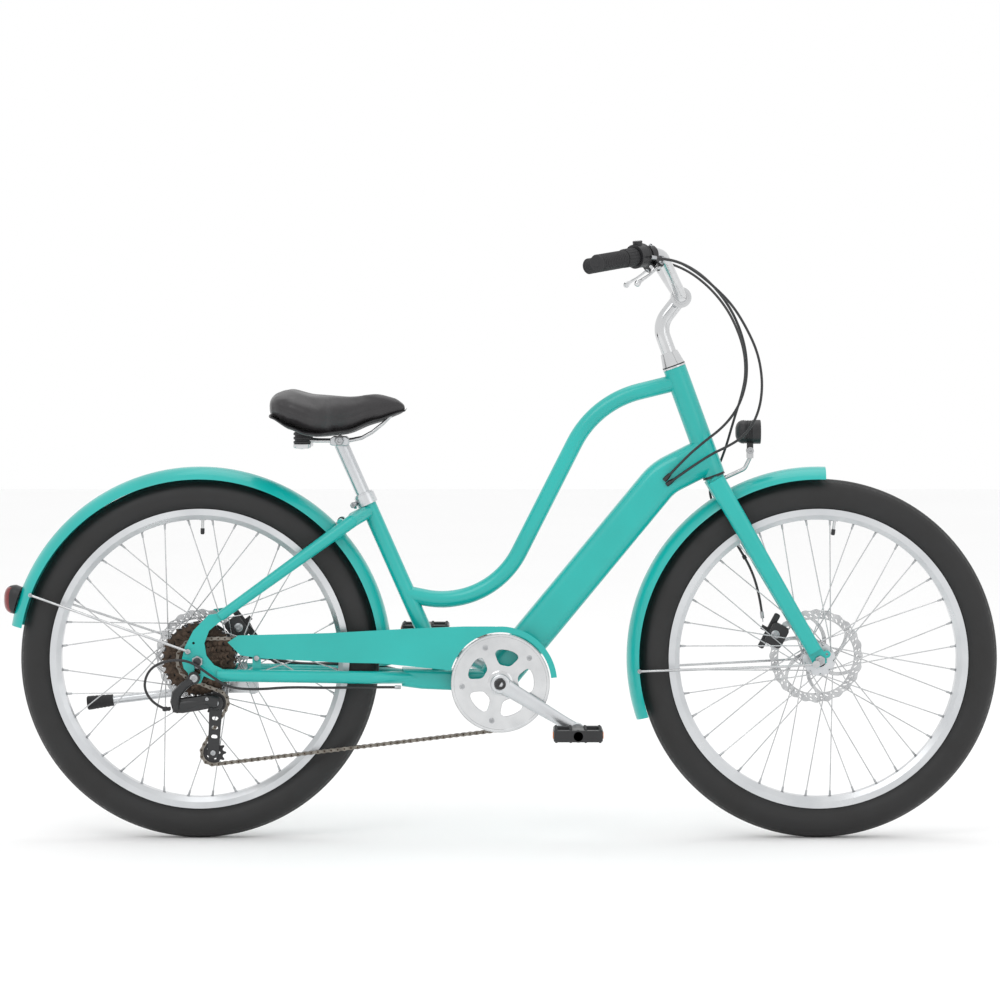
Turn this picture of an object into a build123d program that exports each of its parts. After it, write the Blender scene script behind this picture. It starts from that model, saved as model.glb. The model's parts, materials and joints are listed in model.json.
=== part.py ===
from build123d import *
import math
import os

# Step-through electric cruiser bicycle.
# X runs forward, +Y is the rider's left, +Z is up, and the wheels stand on Z = 0.
# The drive side (chain, derailleur) is the rider's right, at negative Y.

os.makedirs("parts", exist_ok=True)

# ------------------------------------------------------------------ driving sizes, mm
wheelbase = 1181.0
tail_reach = 375.5            # rear axle to the back of the tail light
run_fit = 0.05                # radial clearance of a shaft in its bearing
gap = 0.4                     # clearance between neighbours that move past each other

tyre_outer_r = 342.5
tyre_section_r = 30.5
tyre_wall = 4.0
rim_outer_r = 286.0
rim_inner_r = 265.0
rim_half_width = 19.0
rim_wall = 2.2
spoke_count = 36
spoke_r = 1.1
spoke_spread = 3.2            # spokes alternate this far to each side of their flange
spoke_sweep_deg = 60.0        # three-cross lacing
axle_r = 5.0
rotor_r = 90.0
rotor_thickness = 2.0
front_rotor_y = 40.0
rear_rotor_y = 49.0
front_over_locknut = 100.0
rear_over_locknut = 135.0
front_flanges = (22.0, -33.0)
rear_flanges = (30.0, -24.0)
front_flange_r = 29.0
rear_flange_r = 66.0
flange_thickness = 3.0
motor_r = 62.0

bb_drop = 43.5                # bottom bracket below the axles
tyre_to_bb = 231.4            # front of the rear tyre to the bottom-bracket axis
bb_half_width = 34.0
bb_outer_r = 21.0
bb_bore_r = 17.5
spindle_r = 8.5
crank_length = 170.0
crank_angle_deg = -31.0
crank_inner_y = 60.0
crank_thickness = 14.0
pedal_length = 96.0
pedal_width = 92.0
pedal_thickness = 26.0

head_angle_deg = 20.0         # steering axis back from vertical
fork_angle_deg = 30.1         # fork legs forward from vertical
crown_clearance = 43.4        # tyre to crown centre
head_tube_start = 18.0
head_tube_length = 222.0
head_tube_r = 22.0
head_bore_r = 19.0
steerer_r = 14.3
crown_r = 15.0
fork_half_width = 54.0

seat_angle_deg = 23.96        # seat tube back from vertical
seat_tube_setback = 101.4     # foot of the seat tube behind the bottom bracket
seat_tube_length = 394.0
seat_tube_r = 15.5
seat_post_r = 13.6
seat_post_length = 260.0
seat_post_show = 107.0

down_tube_width = 58.0
down_tube_depth = 71.0
down_tube_corner = 20.0
down_tube_wall = 2.6
top_tube_r = 15.9
chain_stay_r = 12.0
seat_stay_top_r = 12.5
seat_stay_end_r = 9.5

chain_y = -46.0
chain_width = 7.0
chain_height = 8.4
link_pitch = 12.7
ring_teeth = 44
cog_teeth = (34, 28, 24, 20, 18, 16, 14)
drive_cog = 3                 # the cog that the chain runs on
cog_pitch_y = 5.0
pulley_teeth = 11

fender_gap = 23.5             # tyre to fender crown
fender_depth = 23.0
fender_half_width = 39.0
fender_wall = 2.0

bar_r = 11.1
bar_clamp_r = 12.7
grip_r = 16.0
grip_length = 74.0
twist_length = 30.0
shifter_length = 26.0
perch_gap = 12.0
perch_length = 14.0
lever_reach = 30.0
lever_droop_deg = 18.0         # lever blade below the line of the grip
lever_length = 95.0

# ------------------------------------------------------------------ derived places
mid_x = (tail_reach - tyre_outer_r) / 2
rear_x = mid_x - wheelbase / 2
front_x = mid_x + wheelbase / 2
axle_z = tyre_outer_r
bb_x = rear_x + tyre_outer_r + tyre_to_bb
bb_z = axle_z - bb_drop
head_sin = math.sin(math.radians(head_angle_deg))
head_cos = math.cos(math.radians(head_angle_deg))
leg_sin = math.sin(math.radians(fork_angle_deg))
leg_cos = math.cos(math.radians(fork_angle_deg))
seat_sin = math.sin(math.radians(seat_angle_deg))
seat_cos = math.cos(math.radians(seat_angle_deg))
fork_length = tyre_outer_r + crown_clearance
crown_x = front_x - fork_length * leg_sin
crown_z = axle_z + fork_length * leg_cos
fender_r = tyre_outer_r + fender_gap
fender_edge_r = fender_r - fender_depth
ring_r = link_pitch / (2 * math.sin(math.pi / ring_teeth))
cog_r = link_pitch / (2 * math.sin(math.pi / cog_teeth[drive_cog]))
pulley_r = link_pitch / (2 * math.sin(math.pi / pulley_teeth))
rear_inner_y = rear_over_locknut / 2
front_inner_y = front_over_locknut / 2


def rear(dx, dz, y=0.0):
    """Point measured from the rear axle."""
    return Vector(rear_x + dx, y, axle_z + dz)


def front(dx, dz, y=0.0):
    """Point measured from the front axle."""
    return Vector(front_x + dx, y, axle_z + dz)


def bracket(dx, dz, y=0.0):
    """Point measured from the bottom-bracket axis."""
    return Vector(bb_x + dx, y, bb_z + dz)


def head(up, forward=0.0, y=0.0):
    """Point up the steering axis from the fork crown."""
    x = crown_x - up * head_sin + forward * head_cos
    return Vector(x, y, crown_z + up * head_cos + forward * head_sin)


def leg(down, forward=0.0, y=0.0):
    """Point down a fork leg from the crown."""
    x = crown_x + down * leg_sin + forward * leg_cos
    return Vector(x, y, crown_z - down * leg_cos + forward * leg_sin)


def saddle_line(up, forward=0.0, y=0.0):
    """Point up the seat tube from its foot."""
    x = bb_x - seat_tube_setback - up * seat_sin + forward * seat_cos
    return Vector(x, y, bb_z - 4.4 + up * seat_cos + forward * seat_sin)


def fitted_bends(points, bends):
    """Bend radii, scaled down together where neighbouring bends would outgrow the run between them."""
    tangents = [0.0]
    for before, corner, after, bend in zip(points, points[1:], points[2:], bends):
        turn = (corner - before).get_angle(after - corner)
        tangents.append(bend * math.tan(math.radians(turn / 2)))
    tangents.append(0.0)
    share = 1.0
    for start, end, first, second in zip(points, points[1:], tangents, tangents[1:]):
        share = min(share, 0.98 * (end - start).length / (first + second))
    return [bend * share for bend in bends]


def round_bar(points, radius, bends=(), mode=Mode.ADD):
    """Round bar along straight runs joined by tangent arcs."""
    with BuildLine() as route:
        if bends:
            FilletPolyline(*points, radius=fitted_bends(points, bends))
        else:
            Polyline(*points)
    with BuildSketch(Plane(origin=route.line @ 0, z_dir=route.line % 0)) as section:
        Circle(radius)
    sweep(sections=section.sketch, path=route.line, mode=mode)


def drum(centre, y_from, y_to, radius, mode=Mode.ADD):
    """Round boss across the bicycle between two Y values."""
    with BuildSketch(Plane(origin=(centre.X, y_from, centre.Z), z_dir=(0, 1, 0))) as face:
        Circle(radius)
    extrude(face.sketch, amount=y_to - y_from, mode=mode)


def side_plane(y):
    """Side-view plane at one Y, whose extrusions run towards negative Y."""
    return Plane.XZ.offset(-y)


def plate(points, y_from, y_to, mode=Mode.ADD):
    """Flat side-view plate through listed points, from y_from down to y_to."""
    with BuildSketch(side_plane(y_from)) as face:
        with BuildLine():
            Polyline(*[(p.X, p.Z) for p in points], close=True)
        make_face()
    extrude(face.sketch, amount=y_from - y_to, mode=mode)


def save(piece, name):
    """Label a finished sub-part and write it."""
    piece.part.label = name
    export_step(piece.part, f"parts/{name}.step")


def wheel_axis(axle_x):
    return Axis((axle_x, 0, axle_z), (0, 1, 0))


# ------------------------------------------------------------------ wheels
tyre_centre_r = tyre_outer_r - tyre_section_r
bead_half_width = rim_half_width - rim_wall - 0.1
for end, axle_x in (("front", front_x), ("rear", rear_x)):
    hub_plane = Plane(origin=(axle_x, 0, axle_z))

    with BuildPart() as tyre:
        with BuildSketch(hub_plane):
            with Locations((tyre_centre_r, 0)):
                Circle(tyre_section_r)
            with Locations(((rim_outer_r + rim_inner_r) / 2 + 9.2, 0)):
                Rectangle(rim_outer_r - rim_inner_r, 2 * bead_half_width)
            with Locations((tyre_centre_r, 0)):
                Circle(tyre_section_r - tyre_wall, mode=Mode.SUBTRACT)
            with Locations((rim_outer_r - 4, 0)):
                Rectangle(30, 2 * bead_half_width - 6, mode=Mode.SUBTRACT)
        revolve(axis=wheel_axis(axle_x))
        # The bead sits inside the rim, so nothing of the casing is left beside the flanges.
        with BuildSketch(hub_plane):
            for side in (1, -1):
                with Locations(((rim_outer_r + rim_inner_r) / 2, side * (rim_half_width + 5.05))):
                    Rectangle(rim_outer_r - rim_inner_r + 0.2, 10 + 2 * (rim_wall + 0.05))
        revolve(axis=wheel_axis(axle_x), mode=Mode.SUBTRACT)
    save(tyre, f"{end}_tyre")

    with BuildPart() as rim:
        with BuildSketch(hub_plane):
            with BuildLine():
                Polyline(
                    (rim_outer_r, rim_half_width),
                    (rim_inner_r + 9, rim_half_width - 1),
                    (rim_inner_r, rim_half_width - 7),
                    (rim_inner_r, 7 - rim_half_width),
                    (rim_inner_r + 9, 1 - rim_half_width),
                    (rim_outer_r, -rim_half_width),
                    close=True,
                )
            make_face()
            with Locations((rim_outer_r + 2, 0)):
                Rectangle(28, 2 * (rim_half_width - rim_wall), mode=Mode.SUBTRACT)
        revolve(axis=wheel_axis(axle_x))
    save(rim, f"{end}_rim")

    flanges = front_flanges if end == "front" else rear_flanges
    hole_r = front_flange_r if end == "front" else rear_flange_r
    with BuildPart() as spokes:
        for index in range(spoke_count):
            rim_angle = math.radians(5 + 360 / spoke_count * index)
            flange_y = flanges[index % 2]
            turn = 1 if (index // 2) % 2 else -1
            hole_angle = rim_angle + turn * math.radians(spoke_sweep_deg)
            lacing_y = turn * spoke_spread
            rim_y = (2.0 if flange_y > 0 else -2.0) + lacing_y
            inner = Vector(
                axle_x + hole_r * math.cos(hole_angle),
                flange_y + lacing_y,
                axle_z + hole_r * math.sin(hole_angle),
            )
            outer = Vector(
                axle_x + rim_inner_r * math.cos(rim_angle),
                rim_y,
                axle_z + rim_inner_r * math.sin(rim_angle),
            )
            run = outer - inner
            with Locations(Plane(origin=inner, z_dir=run)):
                Cylinder(spoke_r, run.length - 0.6, align=(Align.CENTER, Align.CENTER, Align.MIN))
    save(spokes, f"{end}_spokes")

    rotor_y = front_rotor_y if end == "front" else rear_rotor_y
    with BuildPart() as rotor:
        with BuildSketch(Plane(origin=(axle_x, rotor_y + rotor_thickness / 2, axle_z), z_dir=(0, -1, 0))):
            Circle(rotor_r)
            with PolarLocations(0, 6, start_angle=15):
                with BuildLine():
                    Polyline((27, -2), (72, -26), (75, 0), (69, 22), (35, 14), close=True)
                make_face(mode=Mode.SUBTRACT)
            Circle(22.2, mode=Mode.SUBTRACT)
        extrude(amount=rotor_thickness)
    save(rotor, f"{end}_rotor")

hub_half = front_inner_y - 9
with BuildPart() as front_hub:
    drum(front(0, 0), -hub_half, hub_half, 15)
    for flange_y in front_flanges:
        drum(front(0, 0), flange_y - flange_thickness / 2, flange_y + flange_thickness / 2, front_flange_r + 2.2)
    drum(front(0, 0), front_flanges[0], front_rotor_y + rotor_thickness / 2, 22.2)
    drum(front(0, 0), front_flanges[0], front_rotor_y - rotor_thickness / 2, 26)
    drum(front(0, 0), -hub_half, hub_half, axle_r, mode=Mode.SUBTRACT)
save(front_hub, "front_hub")

with BuildPart() as hub_motor:
    drum(rear(0, 0), rear_flanges[1] - 2, rear_flanges[0] + 6, motor_r)
    fillet(hub_motor.edges().filter_by(GeomType.CIRCLE), 6)
    for flange_y in rear_flanges:
        drum(rear(0, 0), flange_y - flange_thickness / 2, flange_y + flange_thickness / 2, rear_flange_r + 2.2)
    drum(rear(0, 0), 30, rear_rotor_y + rotor_thickness / 2, 22.2)
    drum(rear(0, 0), 30, rear_rotor_y - rotor_thickness / 2, 28)
    drum(rear(0, 0), -80, 80, axle_r + 1 + run_fit, mode=Mode.SUBTRACT)
save(hub_motor, "hub_motor")

# ------------------------------------------------------------------ axles
nut_width_r = 10.0
fork_plate = 7.0
with BuildPart() as front_axle:
    drum(front(0, 0), -front_inner_y - 17, front_inner_y + 17, axle_r - run_fit)
    for side in (1, -1):
        drum(front(0, 0), side * (hub_half + gap), side * front_inner_y, 9)
        nut_plane = Plane(origin=front(0, 0, side * (front_inner_y + fork_plate)), z_dir=(0, side, 0))
        with BuildSketch(nut_plane):
            RegularPolygon(nut_width_r, 6)
        extrude(amount=8)
save(front_axle, "front_axle")

dropout_plate = 6.0
with BuildPart() as rear_axle:
    drum(rear(0, 0), -rear_inner_y - 18, rear_inner_y + 18, axle_r + 1)
    drum(rear(0, 0), rear_rotor_y + rotor_thickness / 2 + gap, rear_inner_y, 10)
    drum(rear(0, 0), -rear_inner_y, -rear_inner_y + 3, 10)
    for side in (1, -1):
        nut_plane = Plane(origin=rear(0, 0, side * (rear_inner_y + dropout_plate)), z_dir=(0, side, 0))
        with BuildSketch(nut_plane):
            RegularPolygon(nut_width_r + 1, 6)
        extrude(amount=9)
save(rear_axle, "rear_axle")

# ------------------------------------------------------------------ main frame
with BuildPart() as head_tube:
    round_bar([head(head_tube_start), head(head_tube_start + head_tube_length)], head_tube_r)
    round_bar([head(head_tube_start), head(head_tube_start + head_tube_length)], head_bore_r, mode=Mode.SUBTRACT)
save(head_tube, "head_tube")

bearing_length = 12.0
head_tube_end = head_tube_start + head_tube_length
with BuildPart() as frame_bearings:
    round_bar([head(head_tube_start - 2.4), head(head_tube_start)], head_tube_r - 0.5)
    round_bar([head(head_tube_start), head(head_tube_start + bearing_length)], head_bore_r)
    round_bar([head(head_tube_end - bearing_length), head(head_tube_end)], head_bore_r)
    round_bar([head(0), head(head_tube_end + 1)], steerer_r + run_fit, mode=Mode.SUBTRACT)
    for side in (1, -1):
        drum(bracket(0, 0), side * (bb_half_width - 14), side * bb_half_width, bb_bore_r)
        drum(bracket(0, 0), side * bb_half_width, side * (bb_half_width + 3), bb_outer_r - 1)
    drum(bracket(0, 0), -60, 60, spindle_r + run_fit, mode=Mode.SUBTRACT)
save(frame_bearings, "frame_bearings")

# The down tube leaves the bottom bracket and bends forward into the head tube.
down_foot = bracket(-16.5, -8)
down_bend = head(45.0, -93.0)
down_top = head(56.0)
straight = (down_bend - down_foot).normalized()
last = (down_top - down_bend).normalized()
battery_start = 70.0
battery_length = (down_bend - down_foot).length - 150.0
with BuildPart() as down_tube:
    with BuildLine() as down_route:
        FilletPolyline(down_foot, down_bend, down_bend + last * 40, radius=100)
    with BuildSketch(Plane(origin=down_foot, x_dir=(0, 1, 0), z_dir=straight)) as down_section:
        RectangleRounded(down_tube_width, down_tube_depth, down_tube_corner)
    sweep(sections=down_section.sketch, path=down_route.line)
    with BuildSketch(Plane(origin=down_bend + last * 40, x_dir=(0, 1, 0), z_dir=last)) as neck_start:
        RectangleRounded(down_tube_width, down_tube_depth, down_tube_corner)
    with BuildSketch(Plane(origin=down_top, x_dir=(0, 1, 0), z_dir=last)) as neck_end:
        RectangleRounded(2 * head_tube_r - 2, down_tube_depth, down_tube_corner - 4)
    loft(sections=[neck_start.sketch, neck_end.sketch])
    bay_plane = Plane(origin=down_foot + straight * (battery_start - 20), x_dir=(0, 1, 0), z_dir=straight)
    with BuildSketch(bay_plane) as bay:
        RectangleRounded(
            down_tube_width - 2 * down_tube_wall,
            down_tube_depth - 2 * down_tube_wall,
            down_tube_corner - down_tube_wall,
        )
    extrude(bay.sketch, amount=battery_length + 40, mode=Mode.SUBTRACT)
    round_bar([head(-20), head(head_tube_end)], head_tube_r, mode=Mode.SUBTRACT)
    drum(bracket(0, 0), -60, 60, bb_outer_r, mode=Mode.SUBTRACT)
save(down_tube, "down_tube")

# The battery pack and, above it, the motor controller fill the down tube.
controller_length = 84.0
controller_start = battery_start + battery_length - controller_length
with BuildPart() as battery_and_controller:
    pack_plane = Plane(origin=down_foot + straight * battery_start, x_dir=(0, 1, 0), z_dir=straight)
    with BuildSketch(pack_plane) as pack_face:
        RectangleRounded(down_tube_width - 9, down_tube_depth - 9, down_tube_corner - 6)
    extrude(pack_face.sketch, amount=battery_length - controller_length - 6)
    control_plane = Plane(origin=down_foot + straight * controller_start, x_dir=(0, 1, 0), z_dir=straight)
    with BuildSketch(control_plane) as control_face:
        RectangleRounded(down_tube_width - 12, down_tube_depth - 16, 6)
    extrude(control_face.sketch, amount=controller_length)
save(battery_and_controller, "battery_and_controller")

with BuildPart() as seat_tube:
    round_bar([saddle_line(-2), saddle_line(seat_tube_length)], seat_tube_r)
    round_bar([saddle_line(60), saddle_line(seat_tube_length)], seat_post_r + run_fit, mode=Mode.SUBTRACT)
save(seat_tube, "seat_tube")

# The top tube dips through two bends between the head tube and the seat tube.
top_join = 186.0
with BuildPart() as top_tube:
    top_points = [
        head(207.0),
        head(207.0, -153.0) + Vector(-18, 0, 12.5),
        bracket(-20.9, 134.0),
        saddle_line(top_join),
    ]
    round_bar(top_points, top_tube_r, [190, 165])
    round_bar([head(head_tube_start), head(head_tube_end)], head_tube_r, mode=Mode.SUBTRACT)
    round_bar([saddle_line(0), saddle_line(seat_tube_length)], seat_tube_r, mode=Mode.SUBTRACT)
save(top_tube, "top_tube")

# Chain stays, the yoke that joins them and the bottom-bracket shell are one weldment.
stay_inset = 69.0
stay_start_x = 37.5
with BuildPart() as chain_stays:
    with BuildSketch(side_plane(28)):
        with BuildLine():
            yoke = [bracket(-188, -9), bracket(-150, -14), bracket(-10, -20), bracket(-4, 19), bracket(-188, 25)]
            Polyline(*[(p.X, p.Z) for p in yoke], close=True)
        make_face()
    extrude(amount=56)
    fillet(chain_stays.edges().filter_by(Axis.Y, reverse=True), 9)
    for side in (1, -1):
        stay = [
            rear(stay_start_x, -27, side * stay_inset),
            bracket(-245, 11, side * 55),
            bracket(-176, 8, side * 18),
            bracket(-120, 5, side * 12),
        ]
        round_bar(stay, chain_stay_r, [60, 50])
    drum(bracket(0, 0), -bb_half_width, bb_half_width, bb_outer_r)
    drum(bracket(0, 0), -bb_half_width, bb_half_width, bb_bore_r, mode=Mode.SUBTRACT)
    add(seat_tube.part, mode=Mode.SUBTRACT)
    add(down_tube.part, mode=Mode.SUBTRACT)
save(chain_stays, "chain_stays")

# Seat stays run outside the fender down to the dropouts, joined by a bridge.
stay_top = saddle_line(362.0)
stay_spread = 55.0
bridge_angle = math.radians(44.2)
bridge_r = fender_r + 10.0
with BuildPart() as seat_stays:
    for side in (1, -1):
        upper = Vector(stay_top.X - 34, side * stay_spread, stay_top.Z - 19)
        lower = rear(42, 84, side * (rear_inner_y + dropout_plate / 2))
        run = lower - upper
        with Locations(Plane(origin=upper + run * 0.5, z_dir=run)):
            Cone(seat_stay_top_r, seat_stay_end_r, run.length)
        with Locations(Location(upper)):
            Sphere(seat_stay_top_r)
        round_bar([upper, Vector(stay_top.X, 0, stay_top.Z)], seat_stay_top_r)
    bridge = rear(bridge_r * math.cos(bridge_angle), bridge_r * math.sin(bridge_angle))
    drum(bridge, -stay_spread, stay_spread, 6)
    round_bar([saddle_line(0), saddle_line(seat_tube_length)], seat_tube_r, mode=Mode.SUBTRACT)
save(seat_stays, "seat_stays")

# Hooked dropout plates carry the axle slot, the derailleur hanger and two eyelets each.
eyelet = rear(-7.5, 34.4)
stay_eyelet = rear(-17.5, 18.7)
hanger = rear(-6, -31)
eyelet_r = 2.5
hook = [
    rear(50, 92), rear(21, 88), rear(-8, 58), rear(-24, 27), rear(-30, 2), rear(-26, -14),
    rear(-18, -22), rear(-17, -42), rear(6, -42), rear(12, -28), rear(30, -36), rear(56, -37),
    rear(56, -19), rear(31, -7), rear(17, 10), rear(13, 34), rear(22, 58), rear(50, 81),
]
with BuildPart() as dropouts:
    for side in (1, -1):
        y_high = rear_inner_y + dropout_plate if side > 0 else -rear_inner_y
        with BuildSketch(side_plane(y_high)):
            with BuildLine():
                Polyline(*[(p.X, p.Z) for p in hook], close=True)
            make_face()
            with Locations((rear_x, axle_z)):
                Circle(17)
            with Locations((rear_x, axle_z), (rear_x, axle_z - 12)):
                Circle(axle_r + 1, mode=Mode.SUBTRACT)
            with Locations((rear_x, axle_z - 12)):
                Rectangle(2 * axle_r + 2, 24, mode=Mode.SUBTRACT)
            with Locations((eyelet.X, eyelet.Z), (stay_eyelet.X, stay_eyelet.Z)):
                Circle(eyelet_r, mode=Mode.SUBTRACT)
        extrude(amount=dropout_plate)
    add(seat_stays.part, mode=Mode.SUBTRACT)
    add(chain_stays.part, mode=Mode.SUBTRACT)
save(dropouts, "dropouts")

with BuildPart() as seat_clamp:
    collar_low = seat_tube_length - 20
    round_bar([saddle_line(collar_low), saddle_line(seat_tube_length)], seat_tube_r + 4.5)
    round_bar([saddle_line(seat_tube_length), saddle_line(seat_tube_length + 3)], seat_tube_r + 2.5)
    round_bar([saddle_line(collar_low + 10, -26, -12), saddle_line(collar_low + 10, -26, 12)], 5)
    round_bar([saddle_line(collar_low + 10, -26), saddle_line(collar_low + 10, -10)], 4.5)
    round_bar([saddle_line(collar_low + 10, -26, 12), saddle_line(collar_low + 4, -26, 30)], 4)
    round_bar([saddle_line(collar_low), saddle_line(seat_tube_length)], seat_tube_r, mode=Mode.SUBTRACT)
    round_bar([saddle_line(collar_low), saddle_line(seat_tube_length + 3)], seat_post_r + run_fit, mode=Mode.SUBTRACT)
save(seat_clamp, "seat_clamp")


# ------------------------------------------------------------------ fenders
def fender_band(axle_x, start_deg, sweep_deg):
    """Curved fender section revolved about a wheel axle, from start_deg anticlockwise."""
    start = math.radians(start_deg)
    out = Vector(math.cos(start), 0, math.sin(start))
    band_plane = Plane(origin=(axle_x, 0, axle_z), x_dir=out, z_dir=(-out.Z, 0, out.X))
    with BuildSketch(band_plane) as section:
        with BuildLine():
            outer = ThreePointArc(
                (fender_edge_r, -fender_half_width), (fender_r, 0), (fender_edge_r, fender_half_width)
            )
            inner = ThreePointArc(
                (fender_edge_r, fender_wall - fender_half_width),
                (fender_r - fender_wall, 0),
                (fender_edge_r, fender_half_width - fender_wall),
            )
            Line(outer @ 0, inner @ 0)
            Line(outer @ 1, inner @ 1)
        make_face()
    revolve(section.sketch, axis=Axis((axle_x, 0, axle_z), (0, -1, 0)), revolution_arc=sweep_deg)


with BuildPart() as rear_fender:
    fender_band(rear_x, -2.0, 172.0)
save(rear_fender, "rear_fender")

with BuildPart() as front_fender:
    fender_band(front_x, 87.8, 110.9)
save(front_fender, "front_fender")

wire_r = 2.4
with BuildPart() as rear_fender_stays:
    stay_angle = math.radians(159)
    for side in (1, -1):
        wire_y = side * (fender_half_width + wire_r)
        tip = rear(fender_edge_r * math.cos(stay_angle), fender_edge_r * math.sin(stay_angle), wire_y)
        root_y = side * (rear_inner_y + dropout_plate + wire_r + 1.8)
        root = Vector(stay_eyelet.X, root_y, stay_eyelet.Z)
        round_bar([root, tip], wire_r)
        drum(stay_eyelet, side * (rear_inner_y + dropout_plate), side * (rear_inner_y + dropout_plate + 7), 5)
        drum(tip, side * fender_half_width, side * (fender_half_width + 6), 4)
    bridge_in = rear((fender_r + 1) * math.cos(bridge_angle), (fender_r + 1) * math.sin(bridge_angle))
    drum(bridge_in, -9, 9, 5)
    add(seat_stays.part, mode=Mode.SUBTRACT)
    add(rear_fender.part, mode=Mode.SUBTRACT)
save(rear_fender_stays, "rear_fender_stays")

with BuildPart() as tail_light:
    with BuildSketch(Plane.XY.offset(axle_z + 84)):
        with Locations((rear_x - tail_reach + 24, 0)):
            RectangleRounded(48, 48, 9)
    extrude(amount=56)
    fillet(tail_light.edges().group_by(Axis.Z)[-1], 5)
    drum(rear(0, 0), -40, 40, fender_r + 0.1, mode=Mode.SUBTRACT)
save(tail_light, "tail_light")

# ------------------------------------------------------------------ chain guard
guard_outer_y = -56.5
guard_thickness = 2.5
guard_inner_r = 97.0
guard_outer_r = 108.0
guard_end_deg = 6.0
with BuildPart() as chain_guard:
    with BuildSketch(side_plane(guard_outer_y + guard_thickness)):
        tail = [
            rear(56, 34.4), rear(75.5, 47.5), rear(248, 52), bracket(-170, 104), bracket(-70, 108),
            bracket(-10, 108), bracket(0, 0), bracket(-93.4, 24.7), bracket(-230, 38), bracket(-294, 39),
            rear(119, 4), rear(80, 10),
        ]
        with BuildLine():
            Polyline(*[(p.X, p.Z) for p in tail], close=True)
        make_face()
        with Locations((bb_x, bb_z)):
            Circle(guard_outer_r)
        end = math.radians(guard_end_deg)
        cut = [
            bracket(0, 0), bracket(-96, 24.7), bracket(-200, 24.7), bracket(-200, -200), bracket(200, -200),
            bracket(200 * math.cos(end), 200 * math.sin(end)),
        ]
        with BuildLine():
            Polyline(*[(p.X, p.Z) for p in cut], close=True)
        make_face(mode=Mode.SUBTRACT)
        with Locations((bb_x, bb_z)):
            Circle(guard_inner_r, mode=Mode.SUBTRACT)
    extrude(amount=guard_thickness)
    tab_x = rear_x + 111
    plate(
        [Vector(tab_x - 8, 0, axle_z - 22), Vector(tab_x + 8, 0, axle_z - 22),
         Vector(tab_x + 8, 0, axle_z + 12), Vector(tab_x - 8, 0, axle_z + 12)],
        guard_outer_y + guard_thickness + 2.5, guard_outer_y + guard_thickness,
    )
    drum(Vector(tab_x, 0, axle_z + 4), guard_outer_y - 2, guard_outer_y, 5)
    add(chain_stays.part, mode=Mode.SUBTRACT)
save(chain_guard, "chain_guard")

# ------------------------------------------------------------------ crankset
ring_disc_r = ring_r - chain_height / 2 - 0.6
with BuildPart() as chainring:
    with BuildSketch(side_plane(chain_y + 1.2)):
        with Locations((bb_x, bb_z)):
            Circle(ring_disc_r)
            with PolarLocations(56, 5, start_angle=crank_angle_deg + 36):
                Circle(17, mode=Mode.SUBTRACT)
            Circle(spindle_r, mode=Mode.SUBTRACT)
    extrude(amount=2.4)
    # Guard ring outside the chain, on five arms.
    with BuildSketch(side_plane(chain_y - chain_width / 2 - 0.8)):
        with Locations((bb_x, bb_z)):
            Circle(94)
            Circle(76, mode=Mode.SUBTRACT)
            with PolarLocations(50, 5, start_angle=crank_angle_deg):
                Rectangle(58, 16)
            Circle(24)
            Circle(spindle_r, mode=Mode.SUBTRACT)
    extrude(amount=2.2)
    drum(bracket(0, 0), chain_y + 4, chain_y - chain_width / 2 - 0.8, 24)
    drum(bracket(0, 0), chain_y + 4, -crank_inner_y, spindle_r, mode=Mode.SUBTRACT)
save(chainring, "chainring")

crank_dir = Vector(math.cos(math.radians(crank_angle_deg)), 0, math.sin(math.radians(crank_angle_deg)))
pedal_bore_r = 7.0
with BuildPart() as crank_arms:
    drum(bracket(0, 0), -crank_inner_y, crank_inner_y, spindle_r)
    for side in (-1, 1):
        y_high = crank_inner_y + crank_thickness if side > 0 else -crank_inner_y
        reach = crank_dir * (-side * crank_length)
        with BuildSketch(side_plane(y_high)):
            with BuildLine():
                normal = Vector(-reach.Z, 0, reach.X).normalized()
                start = bracket(0, 0)
                tip = start + reach
                corners = [start + normal * 16, tip + normal * 11, tip - normal * 11, start - normal * 16]
                Polyline(*[(p.X, p.Z) for p in corners], close=True)
            make_face()
            with Locations((bb_x, bb_z)):
                Circle(19)
            with Locations((tip.X, tip.Z)):
                Circle(14)
                Circle(pedal_bore_r + run_fit, mode=Mode.SUBTRACT)
        extrude(amount=crank_thickness)
    drum(bracket(0, 0), -crank_inner_y, chain_y - chain_width / 2 - 3, 15)
save(crank_arms, "crank_arms")

for name, side in (("right_pedal", -1), ("left_pedal", 1)):
    centre = bracket(0, 0) + crank_dir * (-side * crank_length)
    y_arm = side * (crank_inner_y + crank_thickness)
    with BuildPart() as pedal:
        drum(centre, side * crank_inner_y, y_arm, pedal_bore_r)
        drum(centre, y_arm, y_arm + side * 14, 8)
        body_start = y_arm + side * 14
        with BuildSketch(side_plane(max(body_start, body_start + side * pedal_width))) as body_face:
            with Locations((centre.X, centre.Z)):
                RectangleRounded(pedal_length, pedal_thickness, 7)
        extrude(body_face.sketch, amount=pedal_width)
        with BuildSketch(Plane.XY.offset(centre.Z - pedal_thickness)) as windows:
            for window_x in (-pedal_length * 0.27, pedal_length * 0.27):
                with Locations((centre.X + window_x, body_start + side * pedal_width / 2)):
                    RectangleRounded(22, pedal_width - 26, 5)
        extrude(windows.sketch, amount=2 * pedal_thickness, mode=Mode.SUBTRACT)
    save(pedal, name)

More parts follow.
